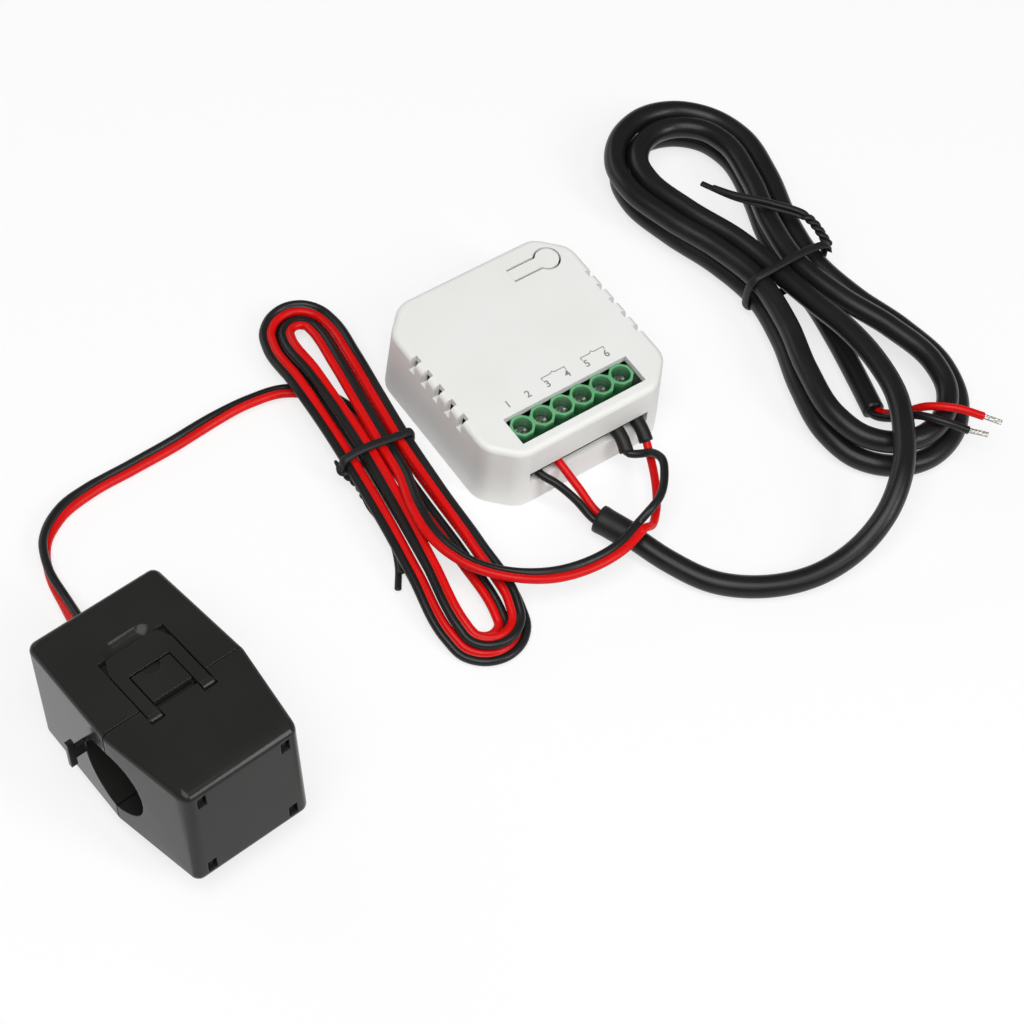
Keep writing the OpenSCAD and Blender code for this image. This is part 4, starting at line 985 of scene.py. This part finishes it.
for way in range(WAYS):
    text = bpy.data.curves.new("number", "FONT")
    text.body = str(way + 1)
    text.size = NUMBER_SIZE * MM
    text.align_x = "CENTER"
    text.extrude = INK_THICK / 2 * MM
    text.offset = BOLD * MM
    holder = bpy.data.objects.new("number", text)
    scene.collection.objects.link(holder)
    holder.location = ((way - (WAYS - 1) / 2) * PITCH * MM, NUMBER_Y * MM,
                       (cover_top + INK_THICK / 2) * MM)
    bpy.context.view_layer.update()
    solid_text = holder.evaluated_get(bpy.context.evaluated_depsgraph_get())
    flat = bpy.data.meshes.new_from_object(solid_text)
    flat.transform(holder.matrix_world)
    shapes.from_mesh(flat)
    bpy.data.objects.remove(holder)
    bpy.data.curves.remove(text)
    bpy.data.meshes.remove(flat)
ink_mesh = bpy.data.meshes.new("terminal_numbers")
shapes.to_mesh(ink_mesh)
shapes.free()
ink_mesh.materials.append(printed_ink())
numbers = bpy.data.objects.new("terminal_numbers", ink_mesh)
scene.collection.objects.link(numbers)
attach(numbers, "monitor")
print("numbers and brackets have", len(ink_mesh.polygons), "faces")

# %% [markdown]
# ## The floor
# The object lies on a white sheet under large soft lamps, so its shadow is faint. Lamps strong
# enough to make the sheet white would burn out the white module. So the sheet also glows by itself,
# but only for the camera and in reflections, and it keeps part of its shadow.

# %% Floor
FLOOR_REACH, FLOOR_Z, SHEET_GLOW = 3.0, -0.0003, 0.72
FLOOR_CORNERS = ((-1, -1), (1, -1), (1, 1), (-1, 1))


def paper():
    sheet = Finish("white_sheet")
    fibre = sheet.noise(sheet.place(), scale=0.8, detail=3.0)
    sheet.close(sheet.blend(fibre, grey(0.90), grey(0.93)), 0.9)
    seen, mirrored = (sheet.node("ShaderNodeLightPath", {}, {}, out=ray)
                      for ray in ("Is Camera Ray", "Is Glossy Ray"))
    glow = sheet.node("ShaderNodeEmission", {}, {"Color": (*grey(1), 1), "Strength": 1.0})
    body = Tone(sheet, sheet.surface.outputs[0])
    shown = sheet.node("ShaderNodeMixShader", {},
                       {0: (seen + mirrored) * SHEET_GLOW, 1: body, 2: glow})
    sheet.plug(sheet.tree.nodes["Material Output"].inputs["Surface"], shown)
    return sheet.material


floor_mesh = bpy.data.meshes.new("floor")
floor_mesh.from_pydata([(x * FLOOR_REACH, y * FLOOR_REACH, FLOOR_Z) for x, y in FLOOR_CORNERS],
                       [], [(0, 1, 2, 3)])
floor_mesh.materials.append(paper())
floor = bpy.data.objects.new("floor", floor_mesh)
scene.collection.objects.link(floor)
print("floor is", 2 * FLOOR_REACH, "m wide")

# %% [markdown]
# ## Lamps
# A large lamp hangs above, a tall one in front draws the bright line along the clamp's nose, and a
# weak one behind lifts the far edges. A sun would draw hard shadows; soft boxes keep them wide and
# pale. The world is white to the camera and gives only a little light to the rest.

# %% Lamps and world
LAMP_AIM = np.array([-0.02, -0.02, 0.01])


def softbox(name, place, size, power):
    lamp = bpy.data.lights.new(name, "AREA")
    lamp.shape = "RECTANGLE"
    lamp.size, lamp.size_y = size
    lamp.energy = power
    holder = bpy.data.objects.new(name, lamp)
    away = unit(np.array(place) - LAMP_AIM)
    wide = unit(np.cross((0, 0, 1), away))
    holder.matrix_world = stand((wide, np.cross(away, wide), away), place)
    scene.collection.objects.link(holder)
    print(name, "of", size, "m gives", power, "W")


softbox("top_light", (-0.35, -0.30, 1.1), size=(0.9, 0.9), power=11.4)
softbox("front_light", (0.365, -0.876, 0.762), size=(0.26, 0.62), power=5.0)
softbox("back_light", (-0.35, 1.0, 0.45), size=(0.9, 0.4), power=2.0)

WORLD_LIGHT = 0.14
world = bpy.data.worlds.new("studio")
world.use_nodes = True
scene.world = world
studio = Graph(world.node_tree)
sky = world.node_tree.nodes["Background"]
seen = studio.node("ShaderNodeLightPath", {}, {}, out="Is Camera Ray")
studio.plug(sky.inputs["Color"], (*grey(1), 1))
studio.plug(sky.inputs["Strength"], WORLD_LIGHT + seen * (1 - WORLD_LIGHT))
scene.view_settings.view_transform = "Standard"
